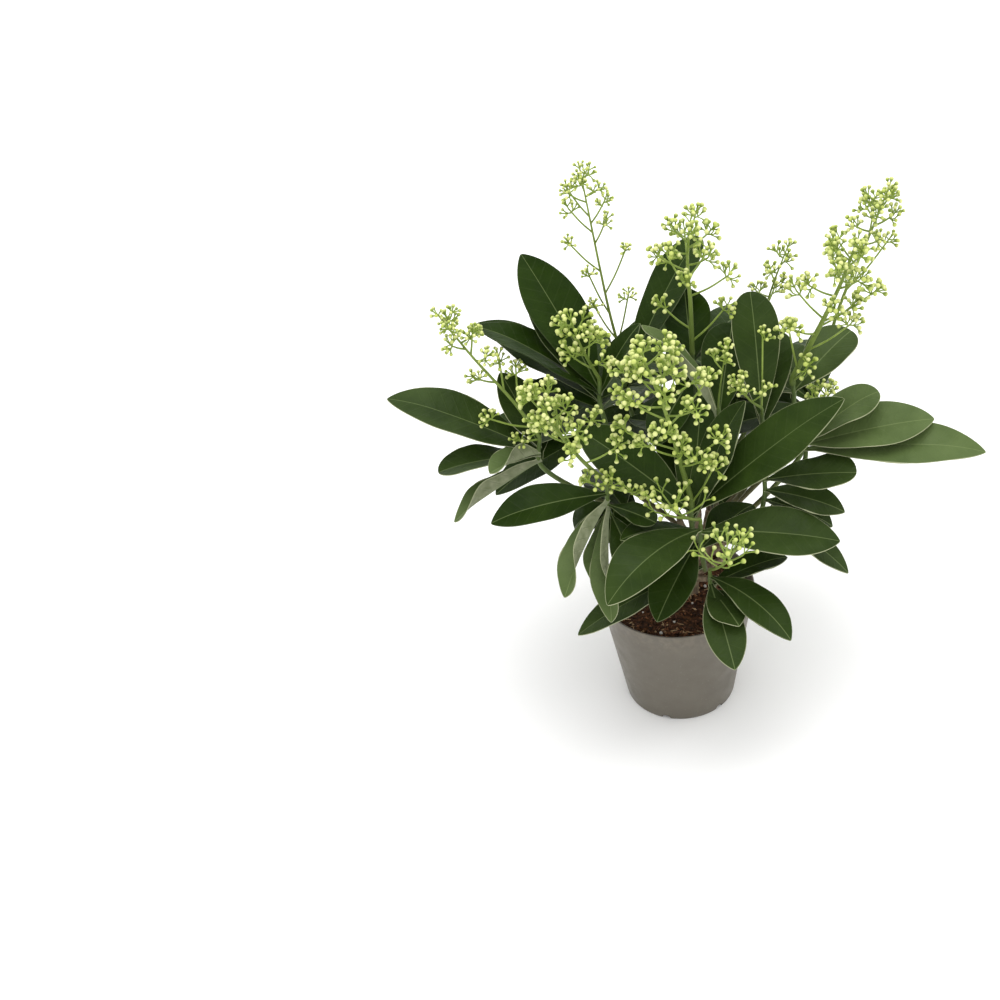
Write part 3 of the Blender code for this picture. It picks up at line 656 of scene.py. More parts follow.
def blade_point(leaf, share, across, lift=0.0):
    """A point of a blade: share runs from foot to tip, across from -1 to 1, and lift is off its face."""
    along = direction(leaf["azimuth"], leaf["rise"])
    side = Vector((-math.sin(math.radians(leaf["azimuth"])), math.cos(math.radians(leaf["azimuth"])), 0))
    up = along.cross(side)
    hold = 1 - share**3 if leaf["form"] == "folded" else 1  # a folded leaf opens and untwists at its tip
    roll = math.radians(leaf["roll"]) * hold
    side, up = side * math.cos(roll) + up * math.sin(roll), up * math.cos(roll) - side * math.sin(roll)
    bulge = math.radians(leaf["arch"]) * leaf["length"] * share * (1 - share) / 2
    reach = across * half_width(share, leaf["width"], leaf["form"])
    fold = math.radians(leaf["fold"]) * hold
    wave = leaf["wave"] * math.sin(2 * math.pi * (WAVE_BEATS * share + leaf["phase"])) * abs(across) ** 2
    height = bulge + abs(reach) * math.sin(fold) + wave * share * (1 - share) * 4 + lift
    return leaf["foot"] + along * (leaf["length"] * share) + side * (reach * math.cos(fold)) + up * height


def blade_grid(leaf, first_row, lift):
    """The blade as rows of points and quads, from one of its rows on, for testing what it crosses."""
    rows = BLADE_ROWS[first_row:]
    points = [blade_point(leaf, share, across, lift) for share in rows for across in (-1, 0, 1)]
    quads = [
        (3 * row + column, 3 * row + column + 1, 3 * row + column + 4, 3 * row + column + 3)
        for row in range(len(rows) - 1)
        for column in (0, 1)
    ]
    return points, quads


print("half width at three quarters of a 30 mm leaf:", round(half_width(0.75, 30, "flat"), 1), "mm")

# %% [markdown]
# ## Where the leaves go
#
# Leaves of a real bush push each other aside as they grow. The same is done
# here: a leaf that would cut through a stem, a panicle or an earlier leaf is
# swung in small steps until a search tree finds nothing in its way.

# %% Room for a leaf
# How far a leaf is swung, in azimuth and rise, until it clears what is already there
NUDGE_REACHES = (0, 4, 8, 12, 16)
NUDGES = [
    (turn, lift)
    for reach in NUDGE_REACHES
    for turn in (0, reach, -reach)
    for lift in (0, reach, -reach)
]
SWINGS = [(turn, lift) for turn in (0, 14, -14, 28, -28, 42, -42, 60) for lift in (0, 12, -12, 24, -24)]


class Space:
    """What already stands in the bush, kept by owner, so that a new leaf can be tested against it."""

    def __init__(self):
        self.pieces = []

    def add(self, owner, points, faces):
        self.pieces.append((owner, points, faces))

    def tree(self, owners):
        """A search tree of the pieces whose owner passes the test, or None where there are none."""
        points, faces = [], []
        for owner, piece_points, piece_faces in self.pieces:
            if owners(owner):
                faces += [tuple(index + len(points) for index in face) for face in piece_faces]
                points += piece_points
        return BVHTree.FromPolygons(points, faces) if faces else None


def crosses(tree, leaf, first_row):
    if tree is None:
        return False
    for lift in (-CLEARANCE, 0, CLEARANCE):
        if tree.overlap(BVHTree.FromPolygons(*blade_grid(leaf, first_row, lift))):
            return True
    return False


def prism(path, radius):
    """A square tube round a path, as points and quads."""
    points, faces = [], []
    for place in path:
        points += [place + radius * Vector(way) for way in ((1, 1, 0), (-1, 1, 0), (-1, -1, 0), (1, -1, 0))]
    for ring in range(len(path) - 1):
        for side in range(4):
            low, high = 4 * ring, 4 * ring + 4
            faces.append((low + side, low + (side + 1) % 4, high + (side + 1) % 4, high + side))
    return points, faces


def bead(place, radius):
    """A small octahedron, as points and triangles."""
    ways = ((1, 0, 0), (0, 1, 0), (-1, 0, 0), (0, -1, 0), (0, 0, 1), (0, 0, -1))
    points = [place + radius * Vector(way) for way in ways]
    faces = [(side, (side + 1) % 4, pole) for side in range(4) for pole in (4, 5)]
    return points, faces


def down_stem(path, drop):
    """The point this far down a stem from its tip."""
    for upper, lower in zip(path[::-1], path[-2::-1]):
        step = (upper - lower).length
        if drop <= step:
            return upper.lerp(lower, drop / step)
        drop -= step
    return path[0]


def leaf_of(stem, draw, azimuth, rise, length, width, drop, roll, form):
    arch, fold, _ = FORMS[form]
    return {
        "azimuth": azimuth,
        "rise": rise,
        "length": length,
        "width": width,
        "form": form,
        "foot": down_stem(stem, drop),
        "arch": arch + draw.uniform(*ARCH_PLAY),
        "roll": roll + draw.uniform(*ROLL_PLAY),
        "fold": fold + draw.uniform(*FOLD_PLAY),
        "wave": draw.uniform(*WAVE_HEIGHT),
        "phase": draw.random(),
    }


def settle(leaf, tries, others, own):
    """The leaf swung aside until it crosses nothing, or None where it never clears."""
    for turn, lift in tries:
        tried = dict(leaf, azimuth=leaf["azimuth"] + turn, rise=leaf["rise"] + lift)
        if not crosses(others, tried, 0) and not crosses(own, tried, 2):
            return tried
    return None


def grow():
    """Every leaf of the bush by shoot: the listed ones first, then each shoot's filling by rule."""
    space = Space()
    ring = [direction(360 * index / RING_SIDES, 0) for index in range(RING_SIDES)]
    rim = [way * (RIM_RADIUS + POT_CLEARANCE) + Vector((0, 0, POT_HEIGHT + POT_CLEARANCE)) for way in ring]
    after = [(side + 1) % RING_SIDES for side in range(RING_SIDES)]
    walls = [(side, after[side], RING_SIDES + after[side], RING_SIDES + side) for side in range(RING_SIDES)]
    space.add("pot", [way * BASE_RADIUS for way in ring] + rim, walls)
    space.add("pot", rim, [tuple(range(RING_SIDES))])
    trunk = [Vector((*TRUNK_FOOT, SOIL_TOP)), *(Vector(point) for point in TRUNK_PATH)]
    space.add("trunk", *prism(trunk, TRUNK_RADIUS))
    for name, shoot in SHOOTS.items():
        wood, green = shoot_paths(shoot)
        space.add("wood of " + name, *prism(wood, WOOD_RADIUS))
        space.add("stem of " + name, *prism(green, SHOOT_RADIUS))
    for name, panicle in PANICLES.items():
        space.add("panicle " + name, *prism(stalk_path(panicle), panicle["radius"]))
        for foot, end in side_branches(name, panicle):
            space.add("panicle " + name, *prism([foot, end], TWIG_RADIUS))
            space.add("panicle " + name, *bead(end, CLUSTER_RADIUS))
    leaves = {name: [] for name in SHOOTS}
    for filling in (False, True):
        for name, shoot in SHOOTS.items():
            draw = random.Random(name + str(filling))
            if filling:
                count, first, last = shoot["fill"]
                specs = [
                    (
                        first + (last - first) * index / max(count - 1, 1),
                        draw.uniform(*FILL_RISE),
                        draw.uniform(*FILL_LENGTH),
                        draw.uniform(*FILL_WIDTH),
                        FILL_DROP + FILL_STEP * index,
                        0,
                        "flat",
                    )
                    for index in range(count)
                ]
            else:
                specs = shoot["leaves"]
            stem = shoot_paths(shoot)[1]
            bunch = "leaves of " + name
            for spec in specs:
                leaf = leaf_of(stem, draw, *spec)
                others = space.tree(lambda owner: owner not in ("stem of " + name, bunch))
                own = space.tree(lambda owner: owner == bunch)
                placed = settle(leaf, SWINGS if filling else NUDGES, others, own)
                if placed:
                    leaves[name].append(placed)
                    space.add(bunch, *blade_grid(placed, 0, 0.0))
    return leaves, space


LEAVES, ROOM = grow()
print("leaves:", sum(map(len, LEAVES.values())))

# %% [markdown]
# A few short leaves sit low in the shade, where gaps between the stems would
# let the floor shine through. The solids leave them out, to stay light.

# %% Leaves in the shade
INNER_LEAVES = (
    ("back_tall", (10, 10, 52, 30, 10, 0, "flat")),
    ("middle", (186, 4, 46, 26, 22, 0, "flat")),
    ("back_left", (18, 0, 46, 28, 46, 0, "flat")),
    ("back_low_left", (-102, -12, 56, 30, 58, 0, "flat")),
    ("far_left", (100, -22, 58, 30, 85, 0, "flat")),
    ("front", (40, 10, 50, 28, 20, 0, "flat")),
    ("back_low", (-60, -12, 44, 28, 62, 0, "flat")),
)


def add_inner_leaf(name, spec):
    bunch = "leaves of " + name
    leaf = leaf_of(shoot_paths(SHOOTS[name])[1], random.Random(name), *spec)
    others = ROOM.tree(lambda owner: owner not in ("stem of " + name, bunch))
    placed = settle(leaf, NUDGES, others, ROOM.tree(lambda owner: owner == bunch))
    if placed:
        LEAVES[name].append(placed)
        ROOM.add(bunch, *blade_grid(placed, 0, 0.0))
    return bool(placed)


print("inner leaves:", [(name, add_inner_leaf(name, spec)) for name, spec in INNER_LEAVES])

# %% [markdown]
# ## Finishes
#
# Every finish is mixed from nodes. Image textures could give the same look,
# but a node recipe stays sharp at any distance and needs no file. The pieces
# carry two marks for their finishes: `place`, which says in millimetres where
# on a leaf or a stem a point lies, and `tint`, a number from 0 to 1 that sets
# one leaf or one bud off from the next.

# %% Short words for node recipes
class Recipe:
    """A material whose nodes are laid down by short calls."""

    def __init__(self, name):
        self.material = bpy.data.materials.new(name)
        self.material.use_nodes = True
        self.nodes = self.material.node_tree.nodes
        self.shader = self.nodes["Principled BSDF"]

    def join(self, value, socket):
        if isinstance(value, bpy.types.NodeSocket):
            self.material.node_tree.links.new(value, socket)
        else:
            socket.default_value = value

    def math(self, operation, a, b=0.0):
        node = self.nodes.new("ShaderNodeMath")
        node.operation = operation
        self.join(a, node.inputs[0])
        self.join(b, node.inputs[1])
        return node.outputs[0]

    def spread(self, value, low, high, to_low=0.0, to_high=1.0):
        node = self.nodes.new("ShaderNodeMapRange")
        node.interpolation_type = "SMOOTHSTEP"
        for socket, number in zip(node.inputs, (value, low, high, to_low, to_high)):
            self.join(number, socket)
        return node.outputs[0]

    def mark(self, name):
        node = self.nodes.new("ShaderNodeAttribute")
        node.attribute_name = name
        return node

    def place(self):
        node = self.nodes.new("ShaderNodeSeparateXYZ")
        self.join(self.mark("place").outputs["Vector"], node.inputs[0])
        return node.outputs

    def noise(self, size, detail=3.0, stretch=(1, 1, 1)):
        """Noise whose lumps are about this many millimetres across."""
        where = self.nodes.new("ShaderNodeTexCoord")
        scaled = self.nodes.new("ShaderNodeMapping")
        scaled.inputs["Scale"].default_value = [1 / (size * MM * way) for way in stretch]
        self.join(where.outputs["Object"], scaled.inputs["Vector"])
        node = self.nodes.new("ShaderNodeTexNoise")
        node.inputs["Scale"].default_value = 1.0
        node.inputs["Detail"].default_value = detail
        self.join(scaled.outputs[0], node.inputs["Vector"])
        return node.outputs["Fac"]

    def ramp(self, value, *stops):
        """A colour that runs through (position, (r, g, b)) stops."""
        node = self.nodes.new("ShaderNodeValToRGB")
        while len(node.color_ramp.elements) < len(stops):
            node.color_ramp.elements.new(0.5)
        for element, (position, colour) in zip(node.color_ramp.elements, stops):
            element.position = position
            element.color = (*colour, 1)
        self.join(value, node.inputs[0])
        return node.outputs[0]

    def mix(self, share, first, second):
        node = self.nodes.new("ShaderNodeMix")
        node.data_type = "RGBA"
        colours = [value if isinstance(value, bpy.types.NodeSocket) else (*value, 1) for value in (first, second)]
        self.join(share, node.inputs[0])
        self.join(colours[0], node.inputs[6])
        self.join(colours[1], node.inputs[7])
        return node.outputs[2]

    def bump(self, height, depth):
        """Relief of this many millimetres, on top of any relief already there."""
        node = self.nodes.new("ShaderNodeBump")
        node.inputs["Distance"].default_value = depth * MM
        self.join(height, node.inputs["Height"])
        socket = self.shader.inputs["Normal"]
        if socket.is_linked:
            self.join(socket.links[0].from_socket, node.inputs["Normal"])
        self.join(node.outputs[0], socket)

    def finish(self, colour, roughness, **steady):
        self.join(colour if isinstance(colour, bpy.types.NodeSocket) else (*colour, 1), self.shader.inputs["Base Color"])
        self.join(roughness, self.shader.inputs["Roughness"])
        for name, value in steady.items():
            self.shader.inputs[name.replace("_", " ")].default_value = value
        return self.material


print("recipes can be mixed")

# %% [markdown]
# ## Leaf finishes
#
# The upper face of a skimmia leaf is dark, leathery and half glossy. Its midrib
# is a hair-thin pale line, its side veins barely show, and a bright hem runs
# round its edge. The underside is a paler, duller green. Where `tint` is high,
# on the right-hand and folded leaves, the upper face turns a lighter, greyer
# green, a painted sheen, and the underside a silvery green that is its own
# paler tone with a painted sheen on it. The lines are drawn from `place`, so
# they keep their real width on every leaf.

# %% Mix the leaf finishes
MIDRIB_GREEN = (0.17, 0.22, 0.085)
HEM_GREEN = (0.30, 0.33, 0.17)
VEIN_STEP = 8.5


def midrib_share(recipe, widest):
    across, along = recipe.place()[0:2]
    width = recipe.spread(along, 0, 110, widest, widest * 0.35)
    return recipe.spread(recipe.math("DIVIDE", recipe.math("ABSOLUTE", across), width), 0.55, 1.25, 1.0, 0.0)


def vein_share(recipe):
    across, along = recipe.place()[0:2]
    slanted = recipe.math("SUBTRACT", along, recipe.math("MULTIPLY", recipe.math("ABSOLUTE", across), 0.75))
    wave = recipe.math("FRACT", recipe.math("DIVIDE", slanted, VEIN_STEP))
    return recipe.spread(recipe.math("ABSOLUTE", recipe.math("SUBTRACT", wave, 0.5)), 0.0, 0.09, 1.0, 0.0)


def leaf_face():
    recipe = Recipe("leaf face")
    cloud = recipe.noise(22, 2.0)
    green = recipe.ramp(cloud, (0.25, (0.009, 0.022, 0.0015)), (0.75, (0.019, 0.040, 0.003)))
    # A light greyish green that a high tint mixes in: a painted sheen on the right-hand and folded leaves
    sheen_green = recipe.ramp(cloud, (0.3, (0.082, 0.122, 0.038)), (0.7, (0.122, 0.170, 0.060)))
    tint = recipe.mark("tint").outputs["Fac"]
    colour = recipe.mix(tint, green, sheen_green)
    colour = recipe.mix(recipe.math("MULTIPLY", vein_share(recipe), 0.03), colour, MIDRIB_GREEN)
    colour = recipe.mix(recipe.math("MULTIPLY", midrib_share(recipe, 0.5), 0.55), colour, MIDRIB_GREEN)
    hem = recipe.spread(recipe.place()[2], 0.05, 0.45, 0.5, 0.0)
    colour = recipe.mix(recipe.math("MULTIPLY", hem, recipe.spread(tint, 0.0, 0.14, 0.25, 1.0)), colour, HEM_GREEN)
    recipe.bump(recipe.noise(1.1, 2.0), 0.05)
    recipe.bump(vein_share(recipe), -0.08)
    recipe.bump(recipe.noise(7, 2.0), 0.7)
    return recipe.finish(colour, recipe.spread(recipe.noise(16, 2.0), 0.3, 0.7, 0.30, 0.44), Specular_IOR_Level=0.07)


def leaf_back():
    recipe = Recipe("leaf underside")
    tint = recipe.mark("tint").outputs["Fac"]
    dull = recipe.ramp(recipe.noise(14, 2.0), (0.3, (0.038, 0.056, 0.022)), (0.7, (0.060, 0.082, 0.036)))
    # Silvery green, brought in by a high tint: the underside's own paler tone with a painted sheen on it
    paler_tone_and_sheen = recipe.ramp(recipe.noise(6, 3.0), (0.3, (0.17, 0.195, 0.10)), (0.7, (0.31, 0.33, 0.21)))
    green = recipe.mix(tint, dull, paler_tone_and_sheen)
    colour = recipe.mix(recipe.math("MULTIPLY", vein_share(recipe), 0.12), green, (0.17, 0.20, 0.12))
    colour = recipe.mix(recipe.math("MULTIPLY", midrib_share(recipe, 1.1), 0.5), colour, (0.20, 0.24, 0.13))
    recipe.bump(vein_share(recipe), 0.2)
    recipe.bump(recipe.noise(1.6, 2.0), 0.06)
    return recipe.finish(colour, 0.58, Specular_IOR_Level=0.25)


def leaf_hem():
    recipe = Recipe("leaf hem")
    tint = recipe.mark("tint").outputs["Fac"]
    colour = recipe.ramp(tint, (0.0, (0.030, 0.048, 0.012)), (0.08, (0.16, 0.19, 0.09)), (0.14, (0.36, 0.38, 0.23)))
    return recipe.finish(colour, 0.5, Specular_IOR_Level=0.2)


LEAF_FINISHES = [leaf_face(), leaf_hem(), leaf_back()]
print("leaf finishes:", [finish.name for finish in LEAF_FINISHES])

# %% [markdown]
# ## Finishes of stems, buds and bark
#
# Young shoots are olive green and turn tan where they are woody. The buds are
# waxy and pale: greener at the foot, cream at the crown, as `place` says.

# %% Mix the stem, bud and bark finishes
def shoot_bark():
    recipe = Recipe("green shoot")
    tone = recipe.noise(6, 3.0, (1, 1, 3))
    green = recipe.ramp(tone, (0.3, (0.060, 0.095, 0.022)), (0.7, (0.11, 0.16, 0.042)))
    brown = recipe.ramp(tone, (0.3, (0.085, 0.065, 0.035)), (0.7, (0.15, 0.115, 0.065)))
    colour = recipe.mix(recipe.spread(recipe.place()[1], 0.1, 0.75), brown, green)
    recipe.bump(recipe.noise(1.2, 3.0, (1, 1, 3)), 0.15)
    return recipe.finish(colour, 0.55, Specular_IOR_Level=0.25)


def stalk_skin():
    recipe = Recipe("panicle stalk")
    tone = recipe.noise(5, 2.0, (1, 1, 3))
    low = recipe.ramp(tone, (0.3, (0.075, 0.115, 0.022)), (0.7, (0.12, 0.17, 0.036)))
    high = recipe.ramp(tone, (0.3, (0.22, 0.31, 0.048)), (0.7, (0.33, 0.43, 0.088)))
    colour = recipe.mix(recipe.place()[1], low, high)
    recipe.bump(recipe.noise(0.8, 2.0), 0.06)
    return recipe.finish(colour, 0.5, Specular_IOR_Level=0.25)


def bud_skin():
    recipe = Recipe("bud skin")
    along = recipe.place()[1]
    tint = recipe.mark("tint").outputs["Fac"]
    foot = recipe.mix(tint, (0.16, 0.245, 0.028), (0.24, 0.33, 0.050))
    crown = recipe.mix(tint, (0.46, 0.54, 0.11), (0.72, 0.74, 0.32))
    colour = recipe.mix(recipe.spread(along, 0.2, 0.9), foot, crown)
    recipe.bump(recipe.noise(0.7, 2.0), 0.03)
    return recipe.finish(colour, 0.45, Specular_IOR_Level=0.3)


def trunk_bark():
    recipe = Recipe("trunk bark")
    ridges = recipe.noise(2.2, 5.0, (1, 1, 4))
    blotch = recipe.noise(9, 3.0)
    colour = recipe.ramp(ridges, (0.28, (0.085, 0.056, 0.036)), (0.5, (0.23, 0.165, 0.105)), (0.75, (0.40, 0.31, 0.21)))
    colour = recipe.mix(recipe.spread(blotch, 0.45, 0.7, 0.0, 0.35), colour, (0.14, 0.13, 0.060))
    recipe.bump(ridges, 0.9)
    recipe.bump(recipe.noise(0.6, 3.0), 0.15)
    return recipe.finish(colour, 0.82)


SHOOT_BARK, STALK_SKIN, BUD_SKIN, TRUNK_BARK = shoot_bark(), stalk_skin(), bud_skin(), trunk_bark()
print("stem, bud and bark finishes are mixed")

# %% [markdown]
# ## Finishes of the pot and the peat
#
# The pot is thin taupe plastic with a satin skin, a little cloudy from the
# mould and dusty near the soil, with shade painted dark into its drain notches
# and under its foot. The peat is dark and red-brown with paler fibres, which
# are pieces of their own that take their colour from `tint`.

# %% Mix the pot and peat finishes
# Painted shade: a near black laid deep in the drain notches and under the foot
NOTCH_PAINTED_SHADE = (0.012, 0.011, 0.009)


def pot_plastic():
    recipe = Recipe("taupe plastic")
    cloud = recipe.ramp(recipe.noise(28, 3.0, (1, 1, 0.6)), (0.3, (0.112, 0.100, 0.078)), (0.7, (0.126, 0.113, 0.088)))
    height = recipe.place()[1]
    dust = recipe.math("MULTIPLY", recipe.spread(height, 0.72, 1.0), recipe.spread(recipe.noise(4, 4.0), 0.42, 0.62))
    colour = recipe.mix(recipe.math("MULTIPLY", dust, 0.35), cloud, (0.20, 0.165, 0.125))
    speck = recipe.spread(recipe.noise(1.3, 2.0), 0.66, 0.74)
    colour = recipe.mix(recipe.math("MULTIPLY", speck, 0.35), colour, (0.26, 0.24, 0.20))
    # The first place mark paints shade into the drain notches and under the foot
    colour = recipe.mix(recipe.place()[0], colour, NOTCH_PAINTED_SHADE)
    recipe.bump(recipe.noise(0.5, 2.0), 0.02)
    recipe.bump(recipe.noise(18, 2.0), 0.12)
    return recipe.finish(colour, recipe.spread(recipe.noise(10, 3.0), 0.3, 0.7, 0.36, 0.50), Specular_IOR_Level=0.35)


def peat_crumb():
    recipe = Recipe("peat")
    lumps = recipe.noise(2.4, 5.0)
    colour = recipe.ramp(lumps, (0.30, (0.012, 0.005, 0.002)), (0.5, (0.055, 0.021, 0.008)), (0.72, (0.15, 0.062, 0.024)))
    recipe.bump(recipe.noise(1.0, 5.0), 0.9)
    return recipe.finish(colour, 0.95, Specular_IOR_Level=0.25)


def peat_fibre():
    recipe = Recipe("peat fibre")
    tint = recipe.mark("tint").outputs["Fac"]
    colour = recipe.ramp(
        tint, (0.0, (0.02, 0.009, 0.004)), (0.4, (0.11, 0.038, 0.013)), (0.75, (0.26, 0.11, 0.042)), (0.93, (0.46, 0.32, 0.18))
    )
    recipe.bump(recipe.noise(0.5, 3.0), 0.15)
    return recipe.finish(colour, 0.9)


def feed_grain():
    recipe = Recipe("white grain")
    colour = recipe.ramp(recipe.noise(1.0, 3.0), (0.3, (0.50, 0.48, 0.43)), (0.7, (0.78, 0.76, 0.72)))
    recipe.bump(recipe.noise(0.5, 3.0), 0.1)
    return recipe.finish(colour, 0.6)


POT_PLASTIC, PEAT, FIBRE, GRAIN = pot_plastic(), peat_crumb(), peat_fibre(), feed_grain()
print("pot and peat finishes are mixed")

# %% [markdown]
# ## One mesh from many small shapes
#
# A bunch holds hundreds of buds. Separate objects would be slow and hard to
# handle, and instances are lost in an export. So the points and faces of every
# shape are heaped up first, and one mesh is made of the heap.

# %% Heap up shapes
class Heap:
    """Points and faces, with the finish of each face and the marks of each point."""

    def __init__(self):
        self.points, self.faces, self.finishes, self.places, self.tints = [], [], [], [], []

    def add(self, points, faces, finishes, places, tint):
        start = len(self.points)
        self.points += points
        self.faces += [tuple(start + index for index in face) for face in faces]
        self.finishes += finishes
        self.places += places
        self.tints += [tint] * len(points)

    def piece(self, name, materials, node, slot):
        mesh = bpy.data.meshes.new(name)
        mesh.from_pydata([point * MM for point in self.points], [], self.faces)
        for material in materials:
            mesh.materials.append(material)
        mesh.polygons.foreach_set("material_index", self.finishes)
        mesh.attributes.new("place", "FLOAT_VECTOR", "POINT").data.foreach_set("vector", np.ravel(self.places))
        mesh.attributes.new("tint", "FLOAT", "POINT").data.foreach_set("value", self.tints)
        return settle_piece(name, mesh, node)


def settle_piece(name, mesh, node):
    """The mesh as a smooth piece that rides with the pot and stands for one solid."""
    mesh.validate()
    mesh.shade_smooth()
    mesh.set_sharp_from_angle(angle=math.radians(50))
    piece = bpy.data.objects.new(name, mesh)
    bpy.context.scene.collection.objects.link(piece)
    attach(piece, "root")
    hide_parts(node)
    return piece


def loft(heap, rings, finishes, places, tint):
    """Faces between rings of points, closed at both ends; finishes go round a ring."""
    count = len(rings[0])
    points = [point for ring in rings for point in ring]
    faces, kinds = [tuple(range(count))[::-1]], [finishes[0]]
    for low in range(0, count * (len(rings) - 1), count):
        for side in range(count):
            after = (side + 1) % count
            faces.append((low + side, low + after, low + count + after, low + count + side))
            kinds.append(finishes[side % len(finishes)])
    last = count * (len(rings) - 1)
    faces.append(tuple(range(last, last + count)))
    kinds.append(finishes[0])
    heap.add(points, faces, kinds, places, tint)


def tube(heap, path, radii, sides, finish, tint, start=0.0, end=1.0):
    """A round stem along a path; place carries its share along, from start to end."""
    rings, places = [], []
    across = (path[1] - path[0]).orthogonal().normalized()
    for index, (point, radius) in enumerate(zip(path, radii)):
        ahead = (path[min(index + 1, len(path) - 1)] - path[max(index - 1, 0)]).normalized()
        across = (across - ahead * across.dot(ahead)).normalized()
        beside = ahead.cross(across)
        turns = [2 * math.pi * side / sides for side in range(sides)]
        rings.append([point + radius * (across * math.cos(turn) + beside * math.sin(turn)) for turn in turns])
        share = start + (end - start) * index / (len(path) - 1)
        places += [(turn, share, 0.0) for turn in turns]
    loft(heap, rings, [finish], places, tint)


print("heap, loft and tube are ready")

# %% [markdown]
# ## The pot
#
# The pot is one thin shell, moulded in one piece. It could be a cylinder with
# its top inset, but turning a half outline round the axis, as on a wheel, gives
# its taper, its rolled rim and its rounded foot in one go. The drain notches
# are then cut through the foot with a Boolean.

# %% Turn the pot
POT_TURNS = 144
RIM_ROLL = 0.25


def turned_mesh(name, outline, sides):
    shape = bmesh.new()
    line = [shape.verts.new((radius * MM, 0, height * MM)) for radius, height in outline]
    edges = [shape.edges.new(pair) for pair in zip(line, line[1:])]
    bmesh.ops.spin(
        shape, geom=line + edges, cent=(0, 0, 0), axis=(0, 0, 1), angle=2 * math.pi, steps=sides, use_merge=True
    )
    bmesh.ops.remove_doubles(shape, verts=shape.verts, dist=MERGE * MM)
    bmesh.ops.dissolve_degenerate(shape, edges=shape.edges, dist=MERGE * MM)
    bmesh.ops.recalc_face_normals(shape, faces=shape.faces)
    mesh = bpy.data.meshes.new(name)
    shape.to_mesh(mesh)
    shape.free()
    return mesh


def pot_outline():
    """From the middle of the inside floor, up the wall, over the rim and down to the middle of the foot."""
    def wall(height, inset):
        return (BASE_RADIUS + (RIM_RADIUS - BASE_RADIUS) * height / POT_HEIGHT - inset, height)

    inside = [(0, BASE_THICKNESS), (BASE_RADIUS - WALL - 1.5, BASE_THICKNESS), wall(3.5, WALL)]
    inside += [wall(height, WALL) for height in range(15, 90, 15)]
    rim = [wall(POT_HEIGHT - 0.7, WALL), wall(POT_HEIGHT - RIM_ROLL, WALL - 0.1), wall(POT_HEIGHT, WALL - 0.4)]
    rim += [wall(POT_HEIGHT, 0.35), wall(POT_HEIGHT - RIM_ROLL, 0.05), wall(POT_HEIGHT - 0.8, 0)]
    outside = [wall(height, 0) for height in (86.4, 86.0, 75, 60, 45, 30, 15, 4)]
    foot = [wall(1.0, 0.03), wall(0.4, 0.2), wall(0.1, 0.6), (BASE_RADIUS - 1.1, 0), (BASE_RADIUS - 6, 0), (0, 0)]
    return inside + rim + outside + foot


def cut_drains(pot):
    for index in range(DRAIN_COUNT):
        way = direction(DRAIN_FIRST + 360 / DRAIN_COUNT * index, 0)
        middle = way * (BASE_RADIUS - DRAIN_RADIUS) + Vector((0, 0, DRAIN_HEIGHT))
        mesh = turned_mesh("drain", [(0, -6), (DRAIN_RADIUS, -6), (DRAIN_RADIUS, 6), (0, 6)], 24)
        mesh.transform(Matrix.Translation(middle * MM) @ way.to_track_quat("Z", "Y").to_matrix().to_4x4())
        cutter = bpy.data.objects.new("drain", mesh)
        bpy.context.scene.collection.objects.link(cutter)
        cut = pot.modifiers.new("drain", "BOOLEAN")
        cut.object = cutter
        cut.solver = "EXACT"
        bpy.context.view_layer.update()
        whole = bpy.data.meshes.new_from_object(pot.evaluated_get(bpy.context.evaluated_depsgraph_get()))
        pot.modifiers.clear()
        pot.data = whole
        bpy.data.objects.remove(cutter)


def in_dent(point):
    """1 deep within a drain notch or under the foot, where shade is painted into the plastic, and 0 elsewhere."""
    return 1.0 if point.xy.length < BASE_RADIUS - 0.8 and point.z < DRAIN_HEIGHT + DRAIN_RADIUS + 0.2 else 0.0


def make_pot():
    body = bpy.data.objects.new("pot_body", turned_mesh("pot", pot_outline(), POT_TURNS))
    bpy.context.scene.collection.objects.link(body)
    cut_drains(body)
    mesh = body.data
    bpy.data.objects.remove(body)
    # The first mark is where shade is painted into the notches and under the foot, the second the height up the wall
    marks = [(in_dent(vert.co / MM), vert.co.z / (POT_HEIGHT * MM), 0.0) for vert in mesh.vertices]
    mesh.attributes.new("place", "FLOAT_VECTOR", "POINT").data.foreach_set("vector", np.ravel(marks))
    mesh.materials.clear()
    mesh.materials.append(POT_PLASTIC)
    return settle_piece("nursery_pot", mesh, "pot")


pot = make_pot()
print("pot faces:", len(pot.data.polygons))

# %% [markdown]
# ## The peat
#
# The soil is a crumbly mix that settled when it was watered: lumps, a few dips
# and a rough edge along the wall. A flat disc with a bump texture would look
# painted, so the surface is really raised, by three sizes of noise. On it lie
# loose fibres and a few white grains of feed.

# %% Fill the pot with peat
PEAT_TURNS = 150
PEAT_RINGS = 56
SOIL_EDGE = RIM_RADIUS - WALL - (RIM_RADIUS - BASE_RADIUS) * (POT_HEIGHT - SOIL_TOP) / POT_HEIGHT


def soil_height(x, y):
    """How high the peat stands at a place, in millimetres."""
    spot = Vector((x, y, 0))
    lumps = 1.5 * noise.noise(spot / 13) + 0.9 * noise.noise(spot / 5.2) + 0.5 * noise.noise(spot / 2.1)
    from_trunk = (spot - Vector((*TRUNK_FOOT, 0))).length
    mound = 1.6 * math.exp(-((from_trunk / 11) ** 2))
    return SOIL_TOP - 0.4 + lumps + mound


